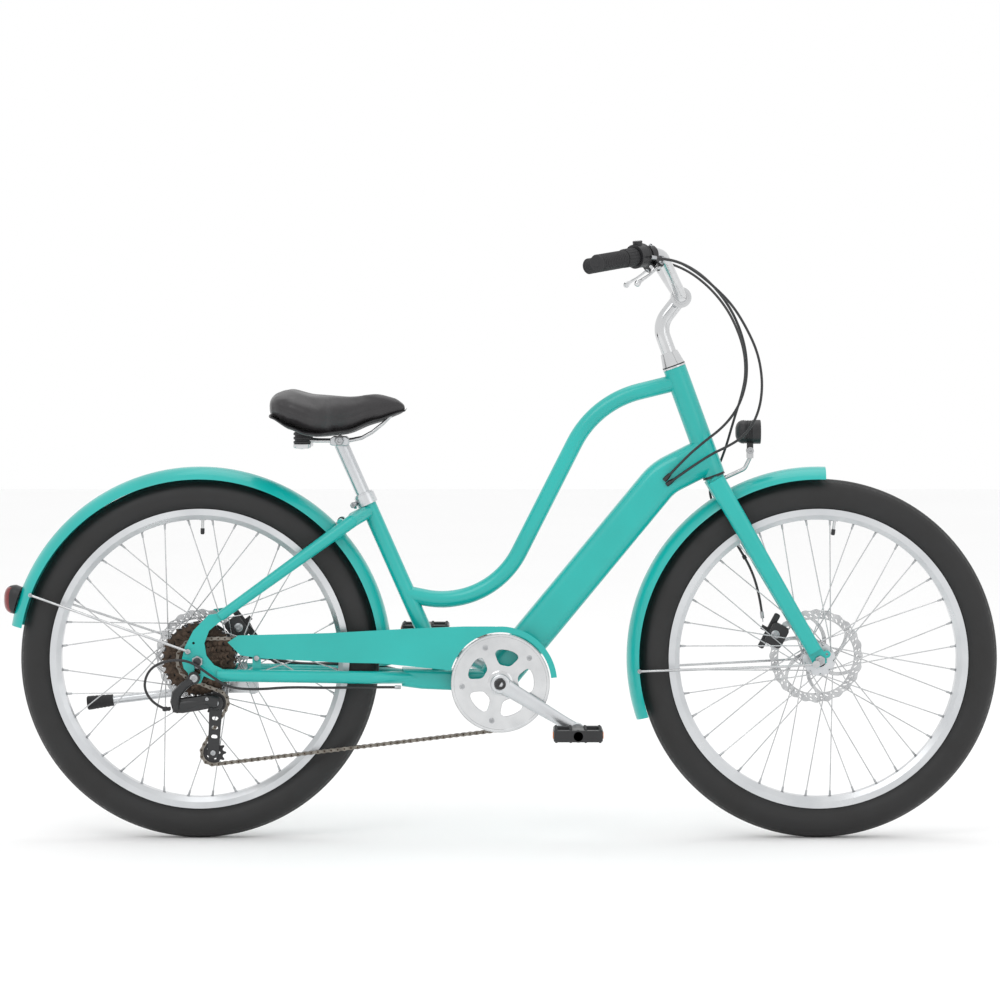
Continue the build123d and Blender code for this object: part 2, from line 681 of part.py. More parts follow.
# ------------------------------------------------------------------ cassette and chain
with BuildPart() as cassette:
    cog_face = chain_y + cog_pitch_y * drive_cog
    drum(rear(0, 0), cog_face + 4, cog_face - 6 * cog_pitch_y - 2, 20)
    for index, teeth in enumerate(cog_teeth):
        pitch_r = link_pitch / (2 * math.sin(math.pi / teeth))
        edge_r = pitch_r - chain_height / 2 - 0.6 if index == drive_cog else pitch_r + 2
        cog_y = cog_face - cog_pitch_y * index
        drum(rear(0, 0), cog_y + 1, cog_y - 1, edge_r)
    drum(rear(0, 0), -80, -20, axle_r + 1 + run_fit, mode=Mode.SUBTRACT)
save(cassette, "cassette")

guide_centre = rear(33.7, -80.5)
tension_centre = rear(28.0, -176.0)


def tangent(circle_a, circle_b):
    """Tangent run of a belt from circle a to circle b; each is (centre, radius, turn)."""
    (a, a_r, a_turn), (b, b_r, b_turn) = circle_a, circle_b
    span = Vector(b.X - a.X, b.Z - a.Z)
    lead = a_turn * a_r - b_turn * b_r
    heading = math.atan2(span.Y, span.X) + math.atan2(lead, math.sqrt(span.length**2 - lead**2))
    right = Vector(math.sin(heading), -math.cos(heading))
    leave = Vector(a.X, a.Z) + right * (a_turn * a_r)
    meet = Vector(b.X, b.Z) + right * (b_turn * b_r)
    return leave, meet


belt = [
    (rear(0, 0), cog_r, -1),
    (bracket(0, 0), ring_r, -1),
    (tension_centre, pulley_r, -1),
    (guide_centre, pulley_r, 1),
]
with BuildPart() as chain:
    with BuildSketch(side_plane(chain_y + chain_width / 2)):
        with BuildLine() as chain_line:
            runs = [tangent(belt[i], belt[(i + 1) % 4]) for i in range(4)]
            for index, (leave, meet) in enumerate(runs):
                Line(leave, meet)
                centre, radius, turn = belt[(index + 1) % 4]
                middle = Vector(centre.X, centre.Z)
                onward = runs[(index + 1) % 4][0]
                begin = math.atan2(meet.Y - middle.Y, meet.X - middle.X)
                finish = math.atan2(onward.Y - middle.Y, onward.X - middle.X)
                swing = (finish - begin) * turn % (2 * math.pi)
                half = begin + turn * swing / 2
                apex = middle + Vector(math.cos(half), math.sin(half)) * radius
                ThreePointArc(meet, apex, onward)
        outer_line = offset(chain_line.wires()[0], amount=chain_height / 2, mode=Mode.PRIVATE)
        inner_line = offset(chain_line.wires()[0], amount=-chain_height / 2, mode=Mode.PRIVATE)
        add(make_face(outer_line.edges(), mode=Mode.PRIVATE))
        add(make_face(inner_line.edges(), mode=Mode.PRIVATE), mode=Mode.SUBTRACT)
    extrude(amount=chain_width)
save(chain, "chain")

# ------------------------------------------------------------------ derailleur
cage_plate = 1.6
cage_gap = chain_width / 2 + 1.2
pulley_pin_r = 3.0
for name, centre in (("guide_pulley", guide_centre), ("tension_pulley", tension_centre)):
    with BuildPart() as pulley:
        drum(centre, chain_y - 2, chain_y + 2, pulley_r - chain_height / 2 - 0.6)
        drum(centre, chain_y - cage_gap + gap, chain_y + cage_gap - gap, 7)
        drum(centre, chain_y - 20, chain_y + 20, pulley_pin_r + run_fit, mode=Mode.SUBTRACT)
    save(pulley, name)

with BuildPart() as derailleur_cage:
    for side in (1, -1):
        y_high = chain_y + side * (cage_gap + cage_plate / 2) + cage_plate / 2
        with BuildSketch(side_plane(y_high)) as cage_face:
            with BuildLine():
                axis_run = tension_centre - guide_centre
                across = Vector(-axis_run.Z, 0, axis_run.X).normalized()
                corners = [guide_centre + across * 11, tension_centre + across * 9,
                           tension_centre - across * 9, guide_centre - across * 11]
                Polyline(*[(p.X, p.Z) for p in corners], close=True)
            make_face()
            with Locations((guide_centre.X, guide_centre.Z)):
                Circle(13)
            with Locations((tension_centre.X, tension_centre.Z)):
                Circle(11)
        extrude(amount=cage_plate)
    for centre in (guide_centre, tension_centre):
        drum(centre, chain_y - cage_gap - cage_plate, chain_y + cage_gap + cage_plate, pulley_pin_r)
        drum(centre, chain_y + cage_gap + cage_plate, chain_y + cage_gap + cage_plate + 2.5, 5)
save(derailleur_cage, "derailleur_cage")

knuckle_y = chain_y - cage_gap - cage_plate - gap
outer_plate_y = -rear_inner_y - dropout_plate
with BuildPart() as derailleur_body:
    drum(hanger, outer_plate_y - 14, outer_plate_y, 11)
    drum(guide_centre, knuckle_y - 14, knuckle_y, 12)
    link = [
        Vector(hanger.X, outer_plate_y - 8, hanger.Z),
        rear(-44, -62, outer_plate_y + 1),
        rear(-40, -92, knuckle_y - 10),
        Vector(guide_centre.X, knuckle_y - 9, guide_centre.Z),
    ]
    round_bar(link, 8.5, [14, 14])
    drum(rear(-44, -64), outer_plate_y - 8, knuckle_y - 4, 9)
    drum(rear(-40, -90), outer_plate_y - 2, knuckle_y - 4, 10)
    add(dropouts.part, mode=Mode.SUBTRACT)
save(derailleur_body, "derailleur_body")

# ------------------------------------------------------------------ kickstand
stand_pivot = rear(95.5, -55.5, 80.0)
folded = Vector(-0.9926, 0, -0.1218)
hinge_dir = Vector(0.0512, -0.8862, -0.4169).normalized()
stand_length = 322.0
with BuildPart() as kickstand_bracket:
    round_bar([stand_pivot - hinge_dir * 10, stand_pivot + hinge_dir * 22], 4.5)
    round_bar([stand_pivot + hinge_dir * 8.4, stand_pivot + hinge_dir * 22], 12)
    with BuildSketch(Plane.XY.offset(axle_z - 72)):
        with Locations((stand_pivot.X - 22, rear_rotor_y + 9.8)):
            RectangleRounded(66, 14.5, 4)
    extrude(amount=36)
    add(chain_stays.part, mode=Mode.SUBTRACT)
save(kickstand_bracket, "kickstand_bracket")

with BuildPart() as kickstand_leg:
    with Locations(Plane(origin=stand_pivot, z_dir=hinge_dir)):
        Cylinder(11, 16)
    with Locations(Plane(origin=stand_pivot + folded * 6, z_dir=folded)):
        Cylinder(8, stand_length - 50, align=(Align.CENTER, Align.CENTER, Align.MIN))
    with Locations(Plane(origin=stand_pivot + folded * (stand_length - 50), z_dir=folded)):
        Cylinder(11, 50, align=(Align.CENTER, Align.CENTER, Align.MIN))
    with Locations(Plane(origin=stand_pivot, z_dir=hinge_dir)):
        Cylinder(4.5 + run_fit, 40, mode=Mode.SUBTRACT)
save(kickstand_leg, "kickstand_leg")

# ------------------------------------------------------------------ seat
post_top = seat_tube_length + seat_post_show
with BuildPart() as seat_post:
    round_bar([saddle_line(post_top - seat_post_length), saddle_line(post_top)], seat_post_r)
save(seat_post, "seat_post")

clamp_point = saddle_line(post_top)


def seat(dx, dz, y=0.0):
    """Point measured from the top of the seat post."""
    return Vector(clamp_point.X + dx, y, clamp_point.Z + dz)


saddle_width = 250.0
with BuildPart() as saddle:
    with BuildSketch(side_plane(saddle_width / 2 + 5)):
        profile = [
            seat(-135.5, 73), seat(-122, 104), seat(-95, 103), seat(-50, 92), seat(20, 89), seat(75, 96),
            seat(108, 92), seat(127, 75), seat(122, 58), seat(65, 37), seat(12, 17), seat(-8, 10), seat(-42, 10),
            seat(-64, 13), seat(-92, 24), seat(-131, 46),
        ]
        with BuildLine():
            Polyline(*[(p.X, p.Z) for p in profile], close=True)
        make_face()
    extrude(amount=saddle_width + 10)
    half = saddle_width / 2
    with BuildSketch(Plane.XY.offset(clamp_point.Z)):
        with BuildLine():
            tip_x = clamp_point.X + 129
            back_x = clamp_point.X - 137
            right = Spline((back_x, 0), (back_x + 22, -half * 0.8), (back_x + 75, -half),
                           (back_x + 150, -half * 0.48), (tip_x - 50, -31), (tip_x - 12, -23), (tip_x, 0))
            Spline((tip_x, 0), (tip_x - 12, 23), (tip_x - 50, 31), (back_x + 150, half * 0.48),
                   (back_x + 75, half), (back_x + 22, half * 0.8), (back_x, 0))
        make_face()
    extrude(amount=120, mode=Mode.INTERSECT)
save(saddle, "saddle")

with BuildPart() as saddle_frame:
    with BuildSketch(Plane.XY.offset(clamp_point.Z - 1)):
        with Locations((clamp_point.X - 2, 0)):
            RectangleRounded(36, 54, 6)
    extrude(amount=16)
    for side in (1, -1):
        rail = [seat(-72, 6, side * 46), seat(-30, 6, side * 21), seat(40, 10, side * 21), seat(96, 62, side * 14)]
        round_bar(rail, 3.5, [30, 30])
        spring = seat(-72, 0, side * 46)
        with BuildSketch(Plane.XY.offset(clamp_point.Z - 8)):
            with Locations((spring.X, spring.Y)):
                Circle(17)
        extrude(amount=70)
    add(saddle.part, mode=Mode.SUBTRACT)
    add(seat_post.part, mode=Mode.SUBTRACT)
save(saddle_frame, "saddle_frame")

# ------------------------------------------------------------------ fork and stem
leg_end = fork_length - 26
leg_dir = Vector(leg_sin, 0, -leg_cos)
leg_forward = (leg_cos, 0, leg_sin)
with BuildPart() as fork_crown:
    drum(head(0), -fork_half_width, fork_half_width, crown_r)
    round_bar([head(0), head(head_tube_end + gap + 20)], steerer_r)
    round_bar([head(0), head(head_tube_start - 2.4 - gap)], head_tube_r - 3)
save(fork_crown, "fork_crown")

with BuildPart() as fork_legs:
    for side in (1, -1):
        y_leg = side * fork_half_width
        with BuildSketch(Plane(origin=leg(-10, 0, y_leg), x_dir=leg_forward, z_dir=leg_dir)) as leg_top:
            RectangleRounded(36, 22, 10)
        with BuildSketch(Plane(origin=leg(leg_end, 0, y_leg), x_dir=leg_forward, z_dir=leg_dir)) as leg_low:
            RectangleRounded(28, 18, 8)
        loft(sections=[leg_top.sketch, leg_low.sketch])
        y_high = front_inner_y + fork_plate if side > 0 else -front_inner_y
        with BuildSketch(side_plane(y_high)):
            ends = [leg(leg_end - 12, 13), leg(fork_length - 4, 15), leg(fork_length + 10, 9),
                    leg(fork_length + 10, -13), leg(fork_length - 4, -15), leg(leg_end - 12, -13)]
            with BuildLine():
                Polyline(*[(p.X, p.Z) for p in ends], close=True)
            make_face()
            with Locations((front_x + 13, axle_z + 12)):
                Circle(7)
                Circle(2.5, mode=Mode.SUBTRACT)
            with Locations((front_x, axle_z)):
                Circle(axle_r, mode=Mode.SUBTRACT)
            slot = [leg(fork_length, axle_r), leg(fork_length + 20, axle_r),
                    leg(fork_length + 20, -axle_r), leg(fork_length, -axle_r)]
            with BuildLine():
                Polyline(*[(p.X, p.Z) for p in slot], close=True)
            make_face(mode=Mode.SUBTRACT)
        extrude(amount=fork_plate)
    add(fork_crown.part, mode=Mode.SUBTRACT)
save(fork_legs, "fork_legs")

stem_start = head_tube_end + gap + 20
stem_corner = head(322.0)
clamp_centre = stem_corner + Vector(41.3, 0, 53.0)
with BuildPart() as stem:
    cap_plane = Plane(origin=head(head_tube_end + gap), z_dir=(-head_sin, 0, head_cos))
    with BuildSketch(cap_plane) as cap_low:
        Circle(head_tube_r)
    with BuildSketch(cap_plane.offset(26)) as cap_high:
        Circle(steerer_r + 2.5)
    loft(sections=[cap_low.sketch, cap_high.sketch])
    round_bar([head(head_tube_end), head(head_tube_end + 40)], steerer_r, mode=Mode.SUBTRACT)
    round_bar([head(stem_start), stem_corner, clamp_centre], steerer_r, [45])
    drum(clamp_centre, -24, 24, bar_clamp_r + 7)
    round_bar([clamp_centre + Vector(0, -30, 0), clamp_centre + Vector(0, 30, 0)], bar_clamp_r, mode=Mode.SUBTRACT)
save(stem, "stem")

# ------------------------------------------------------------------ handlebar and controls
def bar_point(side, dx, across, dz):
    """Handlebar point measured from the stem clamp; side is -1 right, 1 left."""
    return clamp_centre + Vector(dx, side * across, dz)


bar_half = [(0, 40, 0), (-46, 205, 84), (-168, 338, 62.4)]
with BuildPart() as handlebar:
    left = [bar_point(1, *p) for p in reversed(bar_half)]
    right = [bar_point(-1, *p) for p in bar_half]
    round_bar(left + right, bar_r, [80, 60, 60, 80])
    drum(clamp_centre, -38, 38, bar_clamp_r)
save(handlebar, "handlebar")


def bar_end(side):
    """End of the bar and the unit direction inward along the grip."""
    outer = bar_point(side, *bar_half[2])
    inward = (bar_point(side, *bar_half[1]) - outer).normalized()
    return outer, inward


def sleeve(side, begin, finish, radius, bore):
    """Sleeve on the straight end of the bar, from begin to finish along it."""
    outer, inward = bar_end(side)
    round_bar([outer + inward * begin, outer + inward * finish], radius)
    if bore:
        round_bar([outer, outer + inward * (finish + 1)], bore, mode=Mode.SUBTRACT)


with BuildPart() as grips:
    sleeve(-1, -4, grip_length, grip_r, bar_r)
    sleeve(1, -4, grip_length + twist_length, grip_r, bar_r)
save(grips, "grips")

twist_start = grip_length + gap
shifter_start = grip_length + twist_length + gap
perch_start = shifter_start + shifter_length + perch_gap
with BuildPart() as twist_shifter:
    sleeve(-1, twist_start, shifter_start - gap, grip_r + 1.5, bar_r + run_fit)
save(twist_shifter, "twist_shifter")


def lever_frame(side):
    """Pivot, blade direction and squeeze axis of one brake lever."""
    outer, inward = bar_end(side)
    ahead = (Vector(1, 0, 0) - inward * inward.X).normalized()
    below = (Vector(0, 0, -1) + inward * inward.Z).normalized()
    reach = (ahead * 0.8 + below * 0.75).normalized()
    pivot = outer + inward * (perch_start + perch_length / 2) + reach * lever_reach
    droop = math.radians(lever_droop_deg)
    blade = (inward * -math.cos(droop) + reach * math.sin(droop)).normalized()
    squeeze = blade.cross(inward * -1).normalized()
    return pivot, blade, squeeze, reach, inward


pin_r = 2.5
cheek = 3.0
barrel_half = 4.0
with BuildPart() as bar_controls:
    for side in (-1, 1):
        pivot, blade, squeeze, reach, inward = lever_frame(side)
        outer, _ = bar_end(side)
        ring = outer + inward * (perch_start + perch_length / 2)
        round_bar([ring - inward * (perch_length / 2), ring + inward * (perch_length / 2)], grip_r)
        if side < 0:
            drum_start = outer + inward * shifter_start
            round_bar([drum_start, drum_start + inward * shifter_length], 22)
            tall = (Vector(0, 0, 1) - inward * inward.Z).normalized()
            window = drum_start + inward * (shifter_length / 2) + tall * 14
            round_bar([window, window + tall * 13], 9)
        for cheek_side in (1, -1):
            near = squeeze * (cheek_side * (barrel_half + gap))
            with BuildSketch(Plane(origin=pivot + near, x_dir=reach, z_dir=squeeze * cheek_side)):
                with Locations((-10, 0)):
                    Rectangle(24, 13)
                Circle(6.5)
            extrude(amount=cheek)
        with BuildSketch(Plane(origin=pivot - reach * 21 - squeeze * 7.4, x_dir=reach, z_dir=squeeze)):
            Rectangle(8, 13)
        extrude(amount=14.8)
        round_bar([pivot - squeeze * 7.4, pivot + squeeze * 7.4], pin_r)
        round_bar([ring + inward * 6 + reach * 17, ring + inward * 26 + reach * 17], 4)
        round_bar([outer, ring + inward * (perch_length / 2 + 0.5)], bar_r + run_fit, mode=Mode.SUBTRACT)
save(bar_controls, "bar_controls")

for name, side in (("right_brake_lever", -1), ("left_brake_lever", 1)):
    pivot, blade, squeeze, reach, inward = lever_frame(side)
    with BuildPart() as brake_lever:
        with BuildSketch(Plane(origin=pivot - squeeze * barrel_half, x_dir=blade, z_dir=squeeze)) as blade_face:
            Circle(6)
            with Locations((lever_length / 2, 0)):
                Rectangle(lever_length, 5.2)
            with Locations((lever_length, 0)):
                Circle(6.5)
            Circle(pin_r + run_fit, mode=Mode.SUBTRACT)
        extrude(blade_face.sketch, amount=2 * barrel_half)
    save(brake_lever, name)

# ------------------------------------------------------------------ front fender stays, lamp
lamp_centre = head(72.0, 90.0)
lamp_r = 23.0
lamp_hinge = lamp_centre + Vector(4, 0, -36)
with BuildPart() as front_brackets:
    for side in (1, -1):
        angle = math.radians(183.7)
        tip = front(fender_edge_r * math.cos(angle), fender_edge_r * math.sin(angle), side * (fender_half_width + wire_r))
        root = front(-8, -6, side * (front_inner_y + fork_plate + 8 + wire_r + gap))
        round_bar([root, front(-60, -10, side * 68), tip], wire_r, [60])
        drum(root, side * (front_inner_y + fork_plate + 8), side * (front_inner_y + fork_plate + 14), 7)
        drum(tip, side * fender_half_width, side * (fender_half_width + 6), 4)
    lamp_wire = [head(4, 12), head(8, 60), lamp_hinge + Vector(0, 0, -13)]
    round_bar(lamp_wire, 4, [14])
    with BuildSketch(Plane(origin=lamp_hinge + Vector(0, 7, 0), z_dir=(0, 1, 0))):
        Circle(7)
    extrude(amount=3)
    with BuildSketch(Plane(origin=lamp_hinge + Vector(0, -7, 0), z_dir=(0, -1, 0))):
        Circle(7)
    extrude(amount=3)
    round_bar([lamp_hinge + Vector(0, -7, -12), lamp_hinge + Vector(0, 7, -12)], 3.5)
    for side in (1, -1):
        plate(
            [lamp_hinge + Vector(-6, 0, 0), lamp_hinge + Vector(6, 0, 0),
             lamp_hinge + Vector(6, 0, -14), lamp_hinge + Vector(-6, 0, -14)],
            side * 8.5 + 1.5, side * 8.5 - 1.5,
        )
    round_bar([lamp_hinge + Vector(0, -10, 0), lamp_hinge + Vector(0, 10, 0)], 2.5)
    add(fork_crown.part, mode=Mode.SUBTRACT)
    add(front_fender.part, mode=Mode.SUBTRACT)
    add(front_axle.part, mode=Mode.SUBTRACT)
save(front_brackets, "front_brackets")

with BuildPart() as headlight:
    with BuildSketch(Plane(origin=lamp_centre + Vector(-24, 0, 0), z_dir=(1, 0, 0))):
        Circle(lamp_r)
    extrude(amount=48)
    fillet(headlight.edges().group_by(Axis.X)[0], 14)
    with BuildSketch(side_plane(6.5)) as lug:
        with Locations((lamp_hinge.X, lamp_hinge.Z)):
            Circle(6)
        with Locations((lamp_hinge.X, lamp_hinge.Z + 9)):
            Rectangle(12, 18)
    extrude(lug.sketch, amount=13)
    round_bar([lamp_hinge + Vector(0, -10, 0), lamp_hinge + Vector(0, 10, 0)], 2.5 + run_fit, mode=Mode.SUBTRACT)
save(headlight, "headlight")


# ------------------------------------------------------------------ disc calipers
def caliper_frame(centre, angle_deg, rotor_y):
    """Plane at a rotor's edge whose x runs outward along the radius and z along Y."""
    angle = math.radians(angle_deg)
    out = Vector(math.cos(angle), 0, math.sin(angle))
    origin = Vector(centre.X, 0, centre.Z) + out * rotor_r + Vector(0, rotor_y, 0)
    return Plane(origin=origin, x_dir=out, z_dir=(0, 1, 0))


arm_pin_r = 4.0
arm_gap = 0.5
for name, centre, angle_deg, rotor_y, reach_in in (
    ("front", front(0, 0), 152.0, front_rotor_y, 15.0),
    ("rear", rear(0, 0), 38.0, rear_rotor_y, 15.0),
):
    frame_plane = caliper_frame(centre, angle_deg, rotor_y)
    with BuildPart() as caliper:
        with BuildSketch(frame_plane.offset(-reach_in)):
            with Locations((-4, 0)):
                RectangleRounded(34, 44, 8)
        extrude(amount=reach_in + 13)
        with BuildSketch(frame_plane.offset(-3)):
            with Locations((-12, 0)):
                Rectangle(30, 60)
        extrude(amount=6, mode=Mode.SUBTRACT)
        with BuildSketch(frame_plane.offset(4)):
            with Locations((12, 0)):
                RectangleRounded(12, 74, 4)
        extrude(amount=6)
        with BuildSketch(frame_plane.offset(13)):
            Circle(arm_pin_r)
        extrude(amount=8)
        if name == "front":
            add(fork_legs.part, mode=Mode.SUBTRACT)
        else:
            add(dropouts.part, mode=Mode.SUBTRACT)
            add(seat_stays.part, mode=Mode.SUBTRACT)
            add(chain_stays.part, mode=Mode.SUBTRACT)
    save(caliper, f"{name}_caliper")
    with BuildPart() as brake_arm:
        with BuildSketch(frame_plane.offset(13 + arm_gap)):
            Circle(9)
            with Locations((14, 0)):
                Rectangle(28, 9)
            Circle(arm_pin_r + run_fit, mode=Mode.SUBTRACT)
        extrude(amount=4)
    save(brake_arm, f"{name}_brake_arm")

# ------------------------------------------------------------------ cables
cable_r = 2.5


def tightest(points):
    """Largest tangent arc that each corner of a route allows."""
    radii = []
    for before, corner, after in zip(points, points[1:], points[2:]):
        run_in = corner - before
        run_out = after - corner
        turn = math.radians(run_in.get_angle(run_out))
        radii.append(0.45 * min(run_in.length, run_out.length) / math.tan(turn / 2))
    return radii


def route_cable(label, points, radius):
    """Cable along a route, printing its radii and its volume against section times length."""
    radii = tightest(points)
    print(label, "bend radii", [round(r) for r in radii])
    round_bar(points, radius, radii)


def cable_stop(side):
    """Where the brake cable leaves its perch."""
    outer, inward = bar_end(side)
    reach = lever_frame(side)[3]
    return outer + inward * (perch_start + perch_length / 2 + 27) + reach * 17


def from_clamp(dx, y, dz):
    """Point measured from the stem clamp."""
    return Vector(clamp_centre.X + dx, y, clamp_centre.Z + dz)


front_cable_points = [
    cable_stop(1),
    from_clamp(-20, 196, 70),
    from_clamp(24, 178, 52),
    from_clamp(64, 160, 20),
    from_clamp(96, 140, -20),
    from_clamp(116, 118, -62),
    from_clamp(128, 98, -104),
    from_clamp(130, 82, -148),
    from_clamp(122, 70, -186),
    from_clamp(105, 64, -238),
    from_clamp(90, 62, -290),
    from_clamp(75, 70, -330),
    leg(10, -22, 74),
    leg(60, -24, 72),
    leg(120, -24, 62),
    leg(183, -23, 57),
    leg(240, -38, 56),
    leg(272, -52, 56),
]
with BuildPart() as front_brake_cable:
    route_cable("front_brake_cable", front_cable_points, cable_r)
save(front_brake_cable, "front_brake_cable")

shift_points = [
    from_clamp(-66, -268, 74),
    from_clamp(-22, -240, 70),
    from_clamp(16, -214, 50),
    from_clamp(52, -190, 22),
    from_clamp(88, -165, -12),
    from_clamp(116, -140, -54),
    from_clamp(140, -118, -103),
    from_clamp(150, -98, -152),
    from_clamp(149, -84, -194),
    from_clamp(140, -76, -228),
    from_clamp(123, -70, -257),
    from_clamp(97, -62, -278),
    from_clamp(41, -48, -305),
    from_clamp(-25, -31.5, -355),
]
brake_points = [
    cable_stop(-1),
    from_clamp(-20, -196, 70),
    from_clamp(22, -180, 50),
    from_clamp(58, -163, 18),
    from_clamp(87, -145, -20),
    from_clamp(107, -125, -61),
    from_clamp(119, -106, -103),
    from_clamp(122, -90, -147),
    from_clamp(115, -78, -185),
    from_clamp(101, -70, -217),
    from_clamp(76, -62, -248),
    from_clamp(41, -54, -275),
    from_clamp(7, -45, -305),
    from_clamp(-30, -32.5, -346),
]
with BuildPart() as bar_cables:
    route_cable("shift cable at the bar", shift_points, cable_r)
    route_cable("rear brake cable at the bar", brake_points, cable_r)
    add(down_tube.part, mode=Mode.SUBTRACT)
save(bar_cables, "bar_cables")

shift_loop = [
    bracket(-190, -8, -50),
    bracket(-260, -7, -58),
    bracket(-330, -8, -63),
    bracket(-400, -6, -66),
    rear(112, -54, -70),
    rear(60, -50, -80),
    rear(24, -24, -92),
    rear(-14, 4, -95),
    rear(-58, 4, -95),
    rear(-92, -14, -93),
    rear(-102, -52, -88),
    rear(-76, -86, -82),
    rear(-52, -92, -76),
]
rear_brake_route = [
    bracket(-182, 6, 30),
    bracket(-245, 13, 69),
    bracket(-320, 14, 75),
    bracket(-392, 12, 80),
    rear(132, -16, 86),
    rear(112, 12, 84),
    rear(98, 40, 78),
    rear(88, 62, 70),
]
motor_route = [
    bracket(-186, 14, 30),
    bracket(-245, 28, 56),
    bracket(-320, 27, 60),
    bracket(-390, 25, 65),
    rear(130, -7, 70),
    rear(86, -5, 77),
    rear(50, -8, 85),
    rear(22, -5, 94),
    rear(1, 0, 88),
]
with BuildPart() as rear_cables:
    route_cable("shift cable at the stay", shift_loop, cable_r)
    route_cable("rear brake cable at the stay", rear_brake_route, cable_r)
    route_cable("motor lead", motor_route, 3.5)
    add(chain_stays.part, mode=Mode.SUBTRACT)
    add(rear_axle.part, mode=Mode.SUBTRACT)
    add(derailleur_body.part, mode=Mode.SUBTRACT)
save(rear_cables, "rear_cables")
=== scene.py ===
"""The looks of a step-through electric cruiser bicycle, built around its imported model."""

import json
import logging
import math
from collections.abc import Iterable, Sequence
from dataclasses import dataclass, field
from enum import Enum

import bmesh
import bpy
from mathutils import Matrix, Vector


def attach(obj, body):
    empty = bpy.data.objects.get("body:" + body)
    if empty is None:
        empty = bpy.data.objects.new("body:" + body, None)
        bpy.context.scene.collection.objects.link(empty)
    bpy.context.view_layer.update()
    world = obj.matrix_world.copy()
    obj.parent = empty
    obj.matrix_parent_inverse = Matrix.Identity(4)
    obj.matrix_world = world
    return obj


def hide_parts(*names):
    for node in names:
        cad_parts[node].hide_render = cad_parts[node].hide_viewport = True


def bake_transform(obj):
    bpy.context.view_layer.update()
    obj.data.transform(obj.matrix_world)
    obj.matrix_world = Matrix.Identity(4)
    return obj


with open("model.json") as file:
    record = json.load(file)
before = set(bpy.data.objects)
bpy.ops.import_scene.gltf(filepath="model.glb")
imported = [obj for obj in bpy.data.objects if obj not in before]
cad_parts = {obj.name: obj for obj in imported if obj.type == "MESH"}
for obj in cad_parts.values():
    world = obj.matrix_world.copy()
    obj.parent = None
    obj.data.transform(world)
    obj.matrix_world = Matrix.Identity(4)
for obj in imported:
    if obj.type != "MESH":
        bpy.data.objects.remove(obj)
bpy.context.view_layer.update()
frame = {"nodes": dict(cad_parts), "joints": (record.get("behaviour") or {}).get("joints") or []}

MM = 0.001
TURN = 2 * math.pi
Point = tuple[float, float]
log = logging.getLogger("bicycle")


def linear(hex_colour: str) -> tuple[float, float, float, float]:
    """Turns an sRGB hex colour to linear RGBA.

    Args:
        hex_colour: six hex digits after a hash.

    Returns:
        Linear red, green, blue and an alpha of 1.
    """
    values = [int(hex_colour[i:i + 2], 16) / 255 for i in (1, 3, 5)]
    return (*(v / 12.92 if v <= 0.04045 else ((v + 0.055) / 1.055) ** 2.4 for v in values), 1.0)


def add_node(
    tree: bpy.types.NodeTree,
    kind: str,
    settings: dict[str | int, object] | None = None,
    links: dict[str | int, bpy.types.NodeSocket] | None = None,
) -> bpy.types.Node:
    """Adds a node with its settings and its links.

    Args:
        tree: the node tree of a material or world.
        kind: the node's type.
        settings: values by attribute, or by the name or number of an input.
        links: sockets that feed inputs, by the input's name or number.

    Returns:
        The new node.
    """
    node = tree.nodes.new(kind)
    for name, value in (settings or {}).items():
        if isinstance(name, str) and hasattr(node, name):
            setattr(node, name, value)
        else:
            node.inputs[name].default_value = value
    for name, source in (links or {}).items():
        tree.links.new(source, node.inputs[name])
    return node


# ---------------------------------------------------------------- finishes
class Pattern(Enum):
    """How a surface's fine grain runs; the value stretches it along X, Y and Z."""

    EVEN = (1.0, 1.0, 1.0)
    BRUSHED_ACROSS = (1.0, 0.05, 1.0)
    CELLS = (1.0, 1.0, 1.00001)


